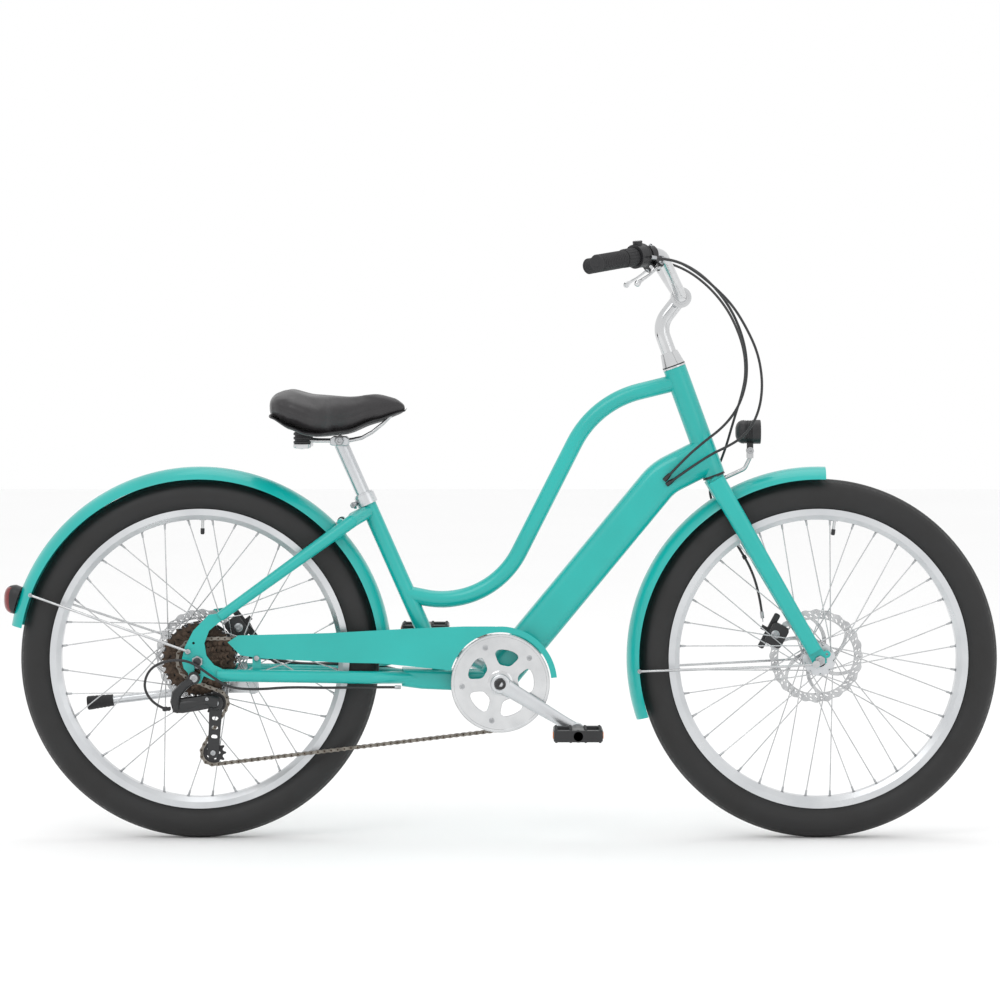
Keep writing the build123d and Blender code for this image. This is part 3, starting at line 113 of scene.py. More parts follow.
@dataclass(frozen=True)
class Finish:
    """A real material and its surface, from which a node material is made."""

    name: str
    colour: str
    shade: str                  # the colour in patches, and the colour of the painted shade in corners
    roughness: float
    metallic: float = 0.0
    ior: float = 1.5
    coat: float = 0.0
    coat_roughness: float = 0.05
    sheen: float = 0.0
    glow: float = 0.0
    clear: float = 0.0
    pattern: Pattern = Pattern.EVEN
    grain_mm: float = 1.0       # size of the fine grain
    relief_mm: float = 0.02     # depth of the fine grain
    patch_mm: float = 70.0      # size of the patches where it is duller or darker
    patch: float = 0.35         # how far patches go towards the shade
    wander: float = 0.06        # how far roughness goes up and down
    painted_shade_mm: float = 5.0       # how far into a corner the painted shade reaches
    painted_shade: float = 0.5          # how dark the painted shade makes a corner

    def material(self) -> bpy.types.Material:
        """Makes the node material once, and gives the same one after that.

        Returns:
            The material with this finish's name.
        """
        found = bpy.data.materials.get(self.name)
        if found:
            return found
        material = bpy.data.materials.new(self.name)
        material.use_nodes = True
        material.diffuse_color = linear(self.colour)
        tree = material.node_tree
        tree.nodes.clear()
        place = add_node(tree, "ShaderNodeTexCoord").outputs["Object"]
        patches = add_node(
            tree, "ShaderNodeTexNoise", {"Scale": 1 / (self.patch_mm * MM), "Detail": 3.0}, {"Vector": place}
        ).outputs["Fac"]
        amount = add_node(
            tree, "ShaderNodeMapRange", {"From Min": 0.35, "From Max": 0.7, "To Max": self.patch}, {"Value": patches}
        ).outputs["Result"]
        body = add_node(
            tree, "ShaderNodeMix",
            {"data_type": "RGBA", 6: linear(self.colour), 7: linear(self.shade)}, {0: amount},
        ).outputs[2]
        # Painted shade: ambient occlusion darkens corners and the gaps between parts, multiplying the colour towards
        # the shade colour.
        corner = add_node(
            tree, "ShaderNodeAmbientOcclusion", {"samples": 4, "Distance": self.painted_shade_mm * MM}
        ).outputs["AO"]
        painted_corner_shade = add_node(
            tree, "ShaderNodeMapRange", {"From Min": 0.15, "From Max": 0.8, "To Min": self.painted_shade, "To Max": 0.0},
            {"Value": corner},
        ).outputs["Result"]
        colour = add_node(
            tree, "ShaderNodeMix", {"data_type": "RGBA", "blend_type": "MULTIPLY", 7: linear(self.shade)},
            {0: painted_corner_shade, 6: body},
        ).outputs[2]
        wander = add_node(
            tree, "ShaderNodeMapRange",
            {"From Min": 0.3, "From Max": 0.7, "To Min": max(self.roughness - self.wander, 0.02),
             "To Max": self.roughness + self.wander},
            {"Value": patches},
        ).outputs["Result"]
        stretched = add_node(
            tree, "ShaderNodeMapping", {"Scale": self.pattern.value}, {"Vector": place}
        ).outputs["Vector"]
        if self.pattern is Pattern.CELLS:
            height = add_node(
                tree, "ShaderNodeTexVoronoi",
                {"feature": "DISTANCE_TO_EDGE", "Scale": 1 / (self.grain_mm * MM)}, {"Vector": stretched},
            ).outputs["Distance"]
        else:
            height = add_node(
                tree, "ShaderNodeTexNoise", {"Scale": 1 / (self.grain_mm * MM), "Detail": 4.0},
                {"Vector": stretched},
            ).outputs["Fac"]
        bump = add_node(
            tree, "ShaderNodeBump", {"Strength": 0.6, "Distance": self.relief_mm * MM}, {"Height": height}
        ).outputs["Normal"]
        settings = {
            "Metallic": self.metallic, "IOR": self.ior, "Coat Weight": self.coat,
            "Coat Roughness": self.coat_roughness, "Sheen Weight": self.sheen,
            "Transmission Weight": self.clear, "Emission Strength": self.glow,
            "Emission Color": linear(self.colour),
        }
        shader = add_node(
            tree, "ShaderNodeBsdfPrincipled", settings, {"Base Color": colour, "Roughness": wander, "Normal": bump}
        )
        add_node(tree, "ShaderNodeOutputMaterial", links={"Surface": shader.outputs[0]})
        return material


# Each finish below sets how dark its painted corner shade is and how far it reaches.
# Wet-sprayed enamel under clear lacquer: a deep even teal with sharp highlights.
ENAMEL = Finish("sprayed_enamel_teal", "#02B0A9", "#029C95", 0.34, coat=0.45, coat_roughness=0.06,
                grain_mm=2.4, relief_mm=0.012, patch_mm=160, patch=0.5, painted_shade=0.35)
# Anodised aluminium, satin: bright grey with a soft broad highlight.
ANODISED = Finish("anodised_aluminium_satin", "#D2D4D6", "#B2B5B9", 0.32, metallic=1.0,
                  pattern=Pattern.BRUSHED_ACROSS, grain_mm=0.6, relief_mm=0.008, painted_shade=0.6)
# Polished aluminium: mirror-like, with fine polishing marks.
POLISHED = Finish("polished_aluminium", "#D2D3D4", "#B2B4B6", 0.16, metallic=1.0, grain_mm=0.9,
                  relief_mm=0.004, patch_mm=40, wander=0.05, painted_shade=0.6)
# Drawn stainless steel wire and stamped plate: hard grey shine.
STAINLESS = Finish("stainless_steel_drawn", "#C9CACB", "#8F9194", 0.26, metallic=1.0, grain_mm=0.5,
                   relief_mm=0.006, patch_mm=30, painted_shade=0.7)
# Zinc-plated carbon steel of bolts and nuts: slightly mottled grey.
ZINC = Finish("zinc_plated_steel", "#B7B9BB", "#7E8083", 0.34, metallic=1.0, grain_mm=0.7,
              relief_mm=0.01, patch_mm=8, painted_shade=0.8)
# Oiled brown-black steel of cogs and chain: dark bronze with greasy patches.
OILED = Finish("oiled_bronze_steel", "#54473D", "#2B2622", 0.36, metallic=0.9, grain_mm=0.8,
               relief_mm=0.02, patch_mm=12, patch=0.8, wander=0.12, painted_shade=0.9, painted_shade_mm=4)
# Nickel-plated chain plates: grey steel dulled by oil.
CHAIN_STEEL = Finish("nickel_plated_steel_oiled", "#8D8880", "#4A4540", 0.34, metallic=1.0, grain_mm=0.6,
                     relief_mm=0.01, patch_mm=10, patch=0.7, painted_shade=0.85, painted_shade_mm=3)
# Black-painted die-cast aluminium: satin black with slight orange peel.
CAST_BLACK = Finish("painted_die_cast_black", "#1B1C1E", "#0F1011", 0.38, grain_mm=1.2, relief_mm=0.03,
                    patch_mm=25, coat=0.25, coat_roughness=0.3, painted_shade=0.4)
# Vulcanised tyre rubber: dull dark grey with a dusty bloom.
RUBBER = Finish("vulcanised_tyre_rubber", "#161617", "#1F1E1D", 0.58, grain_mm=1.4, relief_mm=0.06,
                patch_mm=55, patch=0.5, wander=0.08, painted_shade=0.5, sheen=0.05)
# Soft thermoplastic rubber of grips: matt black.
GRIP_RUBBER = Finish("moulded_grip_rubber", "#222224", "#2F2F30", 0.66, grain_mm=0.9, relief_mm=0.05,
                     patch_mm=22, painted_shade=0.5)
# Moulded nylon and ABS: black with a fine spark-eroded grain.
ABS_BLACK = Finish("moulded_abs_black", "#1D1D1F", "#2A2A2C", 0.42, grain_mm=0.7, relief_mm=0.03,
                   patch_mm=30, painted_shade=0.4)
# Extruded PVC sheath of cables: smooth black.
PVC = Finish("extruded_pvc_sheath", "#1A1A1C", "#262628", 0.36, grain_mm=1.0, relief_mm=0.01,
             patch_mm=35, coat=0.15, painted_shade=0.3)
# Embossed vinyl over foam: charcoal with a leather grain, 1.6 mm cells drawn a little coarse so that they show.
VINYL = Finish("embossed_vinyl_charcoal", "#2A282A", "#201E20", 0.40, pattern=Pattern.CELLS, grain_mm=2.2,
               relief_mm=0.10, patch_mm=60, patch=0.6, wander=0.07, sheen=0.08, painted_shade=0.6, painted_shade_mm=8)
# Clear polycarbonate of a lamp lens.
LENS = Finish("moulded_polycarbonate_clear", "#F4F6F8", "#E3E8EC", 0.06, ior=1.58, clear=0.85,
              grain_mm=3.0, relief_mm=0.02, painted_shade=0.1)
# Red acrylic lens of a tail light.
RED_LENS = Finish("moulded_acrylic_red", "#8E1018", "#5A070C", 0.12, ior=1.49, coat=0.6, clear=0.25,
                  grain_mm=2.5, relief_mm=0.05, painted_shade=0.3)
# Amber prismatic reflector.
AMBER_LENS = Finish("prismatic_acrylic_amber", "#E8820C", "#B65A05", 0.12, ior=1.49, coat=0.6,
                    pattern=Pattern.CELLS, grain_mm=2.0, relief_mm=0.25, painted_shade=0.3)
# Shrink film around battery cells.
CELL_WRAP = Finish("shrink_film_blue", "#2B5C8A", "#1E4468", 0.3, coat=0.3, grain_mm=1.5, relief_mm=0.03)

# The finish of each CAD node that stays as it is.
NODE_FINISHES: dict[Finish, tuple[str, ...]] = {
    ENAMEL: ("head_tube", "down_tube", "top_tube", "seat_tube", "chain_stays", "seat_stays", "dropouts",
             "rear_fender", "front_fender", "fork_crown", "fork_legs", "chain_guard"),
    ANODISED: ("front_rim", "rear_rim", "front_hub", "seat_post", "kickstand_bracket", "kickstand_leg",
               "chainring", "crank_arms", "seat_clamp"),
    POLISHED: ("stem", "handlebar", "right_brake_lever", "left_brake_lever"),
    STAINLESS: ("front_spokes", "rear_spokes", "front_rotor", "rear_rotor", "rear_fender_stays",
                "front_brackets", "saddle_frame"),
    ZINC: ("front_axle", "rear_axle"),
    CAST_BLACK: ("hub_motor", "front_caliper", "rear_caliper", "front_brake_arm", "rear_brake_arm",
                 "derailleur_body", "derailleur_cage", "frame_bearings"),
    OILED: ("cassette",),
    CHAIN_STEEL: ("chain",),
    RUBBER: ("front_tyre", "rear_tyre"),
    GRIP_RUBBER: ("grips", "twist_shifter"),
    ABS_BLACK: ("headlight", "tail_light", "bar_controls", "right_pedal", "left_pedal", "guide_pulley",
                "tension_pulley"),
    PVC: ("bar_cables", "rear_cables", "front_brake_cable"),
    VINYL: ("saddle",),
    CELL_WRAP: ("battery_and_controller",),
}


# ---------------------------------------------------------------- shapes
def basis(out: Vector) -> tuple[Vector, Vector]:
    """Gives two directions square to one another and to out.

    Args:
        out: the direction they are square to.

    Returns:
        The two directions; for +Y they are +X and +Z.
    """
    n = out.normalized()
    first = Vector((1, 0, 0)) if abs(n.x) < 0.9 else Vector((0, 1, 0))
    u = (first - n * first.dot(n)).normalized()
    return u, u.cross(n)


def ring(radius: float, count: int, start: float = 0.0) -> list[Point]:
    """Points round a circle.

    Args:
        radius: the circle's radius.
        count: how many points.
        start: angle of the first one, in radians.

    Returns:
        The points, anticlockwise.
    """
    return [(radius * math.cos(start + TURN * i / count), radius * math.sin(start + TURN * i / count))
            for i in range(count)]


def slot_loop(centre: Point, length: float, width: float, angle: float, steps: int = 5) -> list[Point]:
    """Outline of a slot with round ends.

    Args:
        centre: its middle.
        length: its length over the ends.
        width: its width.
        angle: the direction of its length, in radians.
        steps: points round each end.

    Returns:
        The outline's points.
    """
    reach, half, points = (length - width) / 2, width / 2, []
    for end in (1, -1):
        for i in range(steps):
            a = math.pi * (i / (steps - 1) - 0.5) + (0 if end > 0 else math.pi)
            x, y = end * reach + half * math.cos(a), half * math.sin(a)
            points.append((centre[0] + x * math.cos(angle) - y * math.sin(angle),
                           centre[1] + x * math.sin(angle) + y * math.cos(angle)))
    return points


@dataclass
class Shape:
    """Points and faces gathered in millimetres, before they become one mesh."""

    points: list[Vector] = field(default_factory=list)
    faces: list[tuple[int, ...]] = field(default_factory=list)

    def grid(self, rows: Sequence[Sequence[Vector]], around: bool = True, looped: bool = False) -> None:
        """Adds four-sided faces between rows of points.

        Args:
            rows: rows of equal length.
            around: whether each row closes on itself.
            looped: whether the last row joins the first.
        """
        start, width = len(self.points), len(rows[0])
        for row in rows:
            self.points.extend(row)
        for i in range(len(rows) - (0 if looped else 1)):
            below, above = start + i * width, start + (i + 1) % len(rows) * width
            for j in range(width - (0 if around else 1)):
                k = (j + 1) % width
                self.faces.append((below + j, below + k, above + k, above + j))

    def cap(self, row: Sequence[Vector]) -> None:
        """Closes a ring of points with one face.

        Args:
            row: the ring of points to close.
        """
        start = len(self.points)
        self.points.extend(row)
        self.faces.append(tuple(range(start, start + len(row))))

    def lathe(self, place: Vector, out: Vector, profile: Sequence[Point], segments: int = 32,
              looped: bool = False) -> None:
        """Turns a profile about an axis.

        Args:
            place: the axis's starting point.
            out: the axis's direction.
            profile: pairs of radius and distance along the axis.
            segments: faces round the axis.
            looped: whether the profile closes on itself, as a ring's does.
        """
        u, v = basis(out)
        n = out.normalized()
        rows = [[place + n * along + u * x + v * y for x, y in ring(max(radius, 0.001), segments)]
                for radius, along in profile]
        self.grid(rows, looped=looped)

    def sweep(self, path: Sequence[Vector], radii: float | Sequence[float], sides: int = 10,
              flat: float = 1.0, up: Vector | None = None, closed: bool = False) -> None:
        """Sweeps a round or flattened bar along a path.

        Args:
            path: points along the middle.
            radii: the radius, or one for each point.
            sides: faces round the bar.
            flat: the share of the radius that the second direction has.
            up: the direction that the first radius keeps to, if any.
            closed: whether the path is a ring.
        """
        count = len(path)
        sizes = [radii] * count if isinstance(radii, (int, float)) else list(radii)
        rows, u = [], None
        for i, point in enumerate(path):
            after = path[(i + 1) % count] if closed or i < count - 1 else point
            before = path[i - 1] if closed or i > 0 else point
            n = (after - before).normalized()
            u = basis(n)[0] if u is None and up is None else (up or u)
            u = (u - n * u.dot(n)).normalized()
            v = u.cross(n)
            rows.append([point + u * x * sizes[i] + v * y * sizes[i] * flat for x, y in ring(1.0, sides)])
        self.grid(rows, looped=closed)
        if not closed:
            self.cap(rows[0])
            self.cap(rows[-1])

    def plate(self, place: Vector, u: Vector, v: Vector, loops: Sequence[Sequence[Point]], depth: float,
              chamfer: float = 0.0) -> None:
        """Adds a flat plate with holes, its middle on the plane through place.

        Args:
            place: where the outlines' origin lies.
            u: direction of the outlines' first number.
            v: direction of the second.
            loops: the outer outline and those of the holes.
            depth: the plate's thickness.
            chamfer: the width of its chamfered edges.
        """
        curve = bpy.data.curves.new("plate", "CURVE")
        curve.dimensions, curve.fill_mode = "2D", "BOTH"
        curve.extrude, curve.bevel_depth = depth / 2 - chamfer, chamfer
        curve.offset, curve.bevel_resolution = -chamfer, 0
        for loop in loops:
            spline = curve.splines.new("POLY")
            spline.points.add(len(loop) - 1)
            for point, (x, y) in zip(spline.points, loop):
                point.co = (x, y, 0, 1)
            spline.use_cyclic_u = True
        holder = bpy.data.objects.new("plate", curve)
        mesh = bpy.data.meshes.new_from_object(holder)
        n, start = u.cross(v).normalized(), len(self.points)
        self.points.extend(place + u * p.co.x + v * p.co.y + n * p.co.z for p in mesh.vertices)
        self.faces.extend(tuple(start + i for i in f.vertices) for f in mesh.polygons)
        bpy.data.objects.remove(holder)
        bpy.data.curves.remove(curve)
        bpy.data.meshes.remove(mesh)

    def bolt(self, place: Vector, out: Vector, radius: float, height: float, dome: float = 0.0) -> None:
        """Adds a bolt head with a hexagon socket.

        Args:
            place: where the head sits.
            out: the direction that it faces.
            radius: the head's radius.
            height: the head's height.
            dome: how much lower its rim is than its top.
        """
        u, v = basis(out)
        n = out.normalized()

        def row(radius_at: float, along: float, sides: int = 0) -> list[Vector]:
            """Gives one ring of the head, round or with six sides.

            Args:
                radius_at: radius of the ring.
                along: distance along the axis.
                sides: count of points.

            Returns:
                The ring of points.
            """
            points = []
            for x, y in ring(1.0, 24):
                share = 1.0
                if sides:
                    step = TURN / sides
                    share = math.cos(step / 2) / math.cos(math.atan2(y, x) % step - step / 2)
                points.append(place + n * along + (u * x + v * y) * radius_at * share)
            return points

        socket = radius * 0.55
        self.grid([row(radius, 0), row(radius, height - dome - 0.4), row(radius - 0.4, height - dome),
                   row(radius * 0.72, height), row(socket, height, 6), row(socket, height * 0.45, 6),
                   row(0.01, height * 0.4)])

    def nut(self, place: Vector, out: Vector, radius: float, height: float) -> None:
        """Adds a hexagon nut on a washer, with chamfered corners.

        Args:
            place: centre of the seat.
            out: direction away from the seat.
            radius: half its width.
            height: how far it stands out.
        """
        u, v = basis(out)
        n = out.normalized()

        def row(radius_at: float, along: float, limit: float) -> list[Vector]:
            """Gives one ring of the nut, six-sided and cut to a limit."""
            step = TURN / 6
            return [place + n * along + (u * x + v * y) * min(
                radius_at * math.cos(step / 2) / math.cos(math.atan2(y, x) % step - step / 2), limit)
                for x, y in ring(1.0, 36)]

        self.grid([row(radius, 0.8, radius), row(radius, height - 1, radius),
                   row(radius, height, radius * 0.9), row(radius * 0.5, height, radius)])
        self.lathe(place, out, [(radius * 0.5, 0), (radius * 1.12, 0), (radius * 1.12, 0.8), (radius * 0.5, 0.8)],
                   32, looped=True)

    def build(self, name: str, finish: Finish, body: str | None, sharp_deg: float = 38.0,
              replaces: Iterable[str] = (), bevel_mm: float = 0.0, levels: int = 0) -> bpy.types.Object:
        """Makes the mesh object, dresses it and puts it on its body.

        Args:
            name: the piece's name.
            finish: its finish.
            body: the CAD body it rides on, or None where it is blended afterwards.
            sharp_deg: the angle above which an edge stays sharp.
            replaces: the CAD nodes it stands for.
            bevel_mm: width of the bevel on its sharp edges.
            levels: levels of subdivision.

        Returns:
            The new object.
        """
        mesh = bpy.data.meshes.new(name)
        mesh.from_pydata([p * MM for p in self.points], [], self.faces)
        work = bmesh.new()
        work.from_mesh(mesh)
        bmesh.ops.remove_doubles(work, verts=work.verts, dist=0.005 * MM)
        bmesh.ops.recalc_face_normals(work, faces=work.faces)
        work.to_mesh(mesh)
        work.free()
        piece = bpy.data.objects.new(name, mesh)
        bpy.context.scene.collection.objects.link(piece)
        mesh.materials.append(finish.material())
        mesh.shade_smooth()
        mesh.set_sharp_from_angle(angle=math.radians(sharp_deg))
        if bevel_mm:
            bevel = piece.modifiers.new("edges", "BEVEL")
            bevel.width, bevel.segments, bevel.limit_method = bevel_mm * MM, 2, "ANGLE"
            bevel.angle_limit = math.radians(sharp_deg)
            bevel.harden_normals = True
        if levels:
            smooth = piece.modifiers.new("smooth", "SUBSURF")
            smooth.levels = smooth.render_levels = levels
        if body:
            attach(piece, body)
        if replaces:
            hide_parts(*replaces)
        log.info("%s: %d faces", name, len(mesh.polygons))
        return piece


def joint(name: str) -> Vector:
    """Where a joint's axis passes at rest, in millimetres."""
    found = next(j for j in frame["joints"] if j["name"] == name)
    return Vector(found["pos_m"]) / MM


# ---------------------------------------------------------------- studio
@dataclass
class Studio:
    """Floor, lights and camera."""

    distance: float = 7.62
    eye_height: float = 1.027
    lens_mm: float = 143.4
    shift: float = -0.2
    aim_x: float = -0.0008

    def build(self) -> None:
        """Adds the floor, the lights, the world and the camera."""
        self.floor()
        self.lights()
        camera = bpy.data.cameras.new("camera")
        camera.lens, camera.sensor_width = self.lens_mm, 36.0
        camera.shift_y, camera.clip_end = self.shift, 100.0
        holder = bpy.data.objects.new("camera", camera)
        holder.location = (self.aim_x, -self.distance, self.eye_height)
        holder.rotation_euler = (math.pi / 2, 0, 0)
        bpy.context.scene.collection.objects.link(holder)
        bpy.context.scene.camera = holder
        bpy.context.scene.view_settings.view_transform = "Standard"

    def floor(self) -> None:
        """Adds a plain pale floor."""
        paper = Finish("plain_floor_paper", "#FBFBFB", "#F8F8F8", 0.8, patch_mm=900, painted_shade=0.0, relief_mm=0.0)
        mesh = bpy.data.meshes.new("floor")
        mesh.from_pydata([(-14, -14, 0), (14, -14, 0), (14, 14, 0), (-14, 14, 0)], [], [(0, 1, 2, 3)])
        mesh.materials.append(paper.material())
        floor = bpy.data.objects.new("floor", mesh)
        bpy.context.scene.collection.objects.link(floor)

    def lights(self) -> None:
        """Adds three large soft lights and an even pale world."""
        world = bpy.data.worlds.new("studio")
        world.use_nodes = True
        tree = world.node_tree
        tree.nodes.clear()
        glow = add_node(tree, "ShaderNodeBackground", {"Color": linear("#FFFFFF"), "Strength": 1.0})
        add_node(tree, "ShaderNodeOutputWorld", links={"Surface": glow.outputs[0]})
        bpy.context.scene.world = world
        for name, place, size, power in (
            ("key", (-1.8, -3.6, 4.2), 2.6, 40.0),
            ("fill", (3.2, -3.4, 1.8), 2.4, 10.0),
            ("top", (0.3, 0.8, 4.4), 3.0, 24.0),
        ):
            data = bpy.data.lights.new(name, "AREA")
            data.shape, data.size, data.energy = "SQUARE", size, power
            lamp = bpy.data.objects.new(name, data)
            lamp.location = place
            lamp.rotation_euler = (Vector((0, 0, 0.5)) - Vector(place)).to_track_quat("-Z", "Y").to_euler()
            bpy.context.scene.collection.objects.link(lamp)


@dataclass
class Paintwork:
    """Finishes of the CAD nodes that stay."""

    finishes: dict[Finish, tuple[str, ...]] = field(default_factory=lambda: NODE_FINISHES)

    def build(self) -> None:
        """Gives each CAD node its finish."""
        for finish, nodes in self.finishes.items():
            for name in nodes:
                node = frame["nodes"][name]
                for slot in node.material_slots:
                    slot.material = finish.material()
                if not node.material_slots:
                    node.data.materials.append(finish.material())
                log.info("%s: %s", name, finish.name)


# ---------------------------------------------------------------- wheels
@dataclass
class Wheel:
    """Tyre, spoke nipples, valve and brake disc of one wheel."""

    end: str
    disc_y: float
    flanges: tuple[float, float]
    tyre_r: float = 342.5
    section_r: float = 30.5
    rim_inner_r: float = 265.0
    spokes: int = 36
    spoke_spread: float = 3.2
    sweep_deg: float = 60.0
    flange_r: float = 29.0
    disc_r: float = 90.0
    disc_thickness: float = 2.2
    scallops: int = 24
    arms: int = 6

    @property
    def axle(self) -> Vector:
        """The wheel's centre."""
        return joint(f"{self.end}_wheel_spin")

    @property
    def body(self) -> str:
        """The CAD body that turns."""
        return f"{self.end}_wheel"

    def build(self) -> None:
        """Builds the pieces of the wheel."""
        self.tyre()
        self.nipples()
        self.valve()
        self.disc()

    def tyre(self) -> None:
        """Builds the tyre with its tread blocks, shoulder ribs and bead."""
        segments, centre_r = 768, self.tyre_r - self.section_r
        outer = [-1.0 + 2.0 * i / 44 for i in range(45)]
        profile: list[tuple[float, float, bool]] = []
        for share in outer:
            angle = share * math.radians(147)
            y = self.section_r * math.sin(angle)
            r = centre_r + self.section_r * math.cos(angle)
            shoulder = abs(abs(angle) - math.radians(100)) < 0.05
            edge = abs(abs(angle) - math.radians(52)) < 0.04
            rib = 0.7 if shoulder or edge else 0
            profile.append((r - 0.7 + rib, y, abs(angle) < math.radians(46)))
        inner = [(centre_r + (self.section_r - 4) * math.cos(a), (self.section_r - 4) * math.sin(a), False)
                 for a in (math.radians(140 - 20 * i) for i in range(15))]
        rows = []
        for r, y, tread in profile + inner:
            row = []
            for i in range(segments):
                angle = TURN * i / segments
                radius = r
                if tread:
                    radius += 0.7
                    lean = (i / 6 + abs(y) * 0.16) % 1.0
                    groove = lean < 0.18 and abs(y) > 5 or 5.0 <= abs(y) < 6.4 or 13.4 < abs(y) < 14.8
                    radius -= 1.3 if groove else 0.0
                row.append(self.axle + Vector((radius * math.cos(angle), y, radius * math.sin(angle))))
            rows.append(row)
        shape = Shape()
        shape.grid(rows, looped=True)
        shape.build(f"{self.end}_tyre_treaded", RUBBER, self.body, 50, [f"{self.end}_tyre"])

    def lacing(self) -> list[tuple[Vector, Vector]]:
        """Gives each spoke's ends, at its flange and at the rim.

        Returns:
            The two ends of each spoke.
        """
        ends = []
        for index in range(self.spokes):
            angle = math.radians(5) + TURN * index / self.spokes
            flange_y = self.flanges[index % 2]
            turn = 1 if (index // 2) % 2 else -1
            hole = angle + turn * math.radians(self.sweep_deg)
            rim_y = math.copysign(2.0, flange_y) + turn * self.spoke_spread
            ends.append((
                self.axle + Vector((self.flange_r * math.cos(hole), flange_y + turn * self.spoke_spread,
                                    self.flange_r * math.sin(hole))),
                self.axle + Vector((self.rim_inner_r * math.cos(angle), rim_y,
                                    self.rim_inner_r * math.sin(angle))),
            ))
        return ends

    def nipples(self) -> None:
        """Builds the spoke nipples, the rim's eyelets and the spoke heads."""
        nipples, heads = Shape(), Shape()
        for hub_end, rim_end in self.lacing():
            inward = (hub_end - rim_end).normalized()
            nipples.lathe(rim_end - inward * 1.0, inward,
                          [(3.4, 0), (3.4, 1.6), (2.1, 2.2), (1.9, 9.5), (1.7, 11.5), (1.15, 12.5)], 12)
            outward = Vector((0, math.copysign(1, hub_end.y - self.flanges[0 if hub_end.y > 0 else 1]), 0))
            heads.lathe(hub_end - outward * 1.0, outward,
                        [(1.2, 0), (2.4, 0.2), (2.6, 1.2), (1.6, 2.2), (0, 2.5)], 10)
        nipples.build(f"{self.end}_spoke_nipples", ZINC, self.body)
        heads.build(f"{self.end}_spoke_heads", STAINLESS, self.body)

    def valve(self) -> None:
        """Builds the valve stem with its nut and cap."""
        angle = math.radians(94 if self.end == "rear" else 88) - TURN / self.spokes / 2
        out = Vector((-math.cos(angle), 0, -math.sin(angle)))
        root = self.axle - out * (self.rim_inner_r + 1)
        stem = Shape()
        stem.lathe(root, out, [(3, 0), (3, 18), (2.6, 18.2), (2.6, 22), (0, 22)], 20)
        stem.lathe(root, out, [(3, 0.6), (6.5, 0.6), (6.5, 2.6), (3, 2.6)], 24, looped=True)
        stem.build(f"{self.end}_valve_stem", POLISHED, self.body)
        cap = Shape()
        cap.lathe(root + out * 18, out, [(3.2, 0), (4, 0.5), (4, 9), (3, 11.5), (0, 12)], 20)
        cap.build(f"{self.end}_valve_cap", ABS_BLACK, self.body)

    def disc(self) -> None:
        """Builds the brake disc: scalloped edge, curved arms, slots and bolts."""
        def edge(radius: float, depth: float, count: int, phase: float) -> list[Point]:
            """Gives a wavy circle."""
            steps = 432
            return [((radius - depth * (0.5 - 0.5 * math.cos(count * TURN * i / steps + phase)))
                     * math.cos(TURN * i / steps),
                     (radius - depth * (0.5 - 0.5 * math.cos(count * TURN * i / steps + phase)))
                     * math.sin(TURN * i / steps)) for i in range(steps)]

        loops = [edge(self.disc_r, 2.6, self.scallops, 0.0), ring(17.0, 48)]
        pitch, low, high, half_arm, swirl = TURN / self.arms, 31.0, 71.0, 4.4, 0.62
        for arm in range(self.arms):
            window = []
            for side, radii in ((1, range(9)), (-1, range(8, -1, -1))):
                for step in radii:
                    r = low + (high - low) * step / 8
                    a = arm * pitch + swirl * (r - low) / (high - low)
                    a += half_arm / r if side > 0 else pitch - half_arm / r
                    window.append((r * math.cos(a), r * math.sin(a)))
                if side > 0:
                    for step in range(1, 8):
                        a0 = arm * pitch + swirl + half_arm / high
                        a1 = (arm + 1) * pitch + swirl - half_arm / high
                        a = a0 + (a1 - a0) * step / 8
                        r = high + 2.0 * math.sin(math.pi * step / 8)
                        window.append((r * math.cos(a), r * math.sin(a)))
            loops.append(window)
        for hole in range(self.scallops):
            for radius, turn, size in ((78.0, 0.0, 7.5), (83.4, 0.55, 6.0), (77.0, 0.5, 4.6)):
                a = TURN * (hole + turn) / self.scallops
                loops.append(slot_loop((radius * math.cos(a), radius * math.sin(a)), size, 2.6, a + 0.9))
        shape = Shape()
        # The outlines are seen from the left side, where the disc is.
        place = self.axle + Vector((0, self.disc_y, 0))
        shape.plate(place, Vector((1, 0, 0)), Vector((0, 0, 1)), loops, self.disc_thickness, 0.25)
        shape.build(f"{self.end}_brake_disc", STAINLESS, self.body, replaces=[f"{self.end}_rotor"])
        bolts = Shape()
        for x, z in ring(22.0, 6, 0.3):
            bolts.bolt(place + Vector((x, self.disc_thickness / 2, z)), Vector((0, 1, 0)), 4.2, 2.4, 0.8)
        bolts.build(f"{self.end}_disc_bolts", ZINC, self.body)


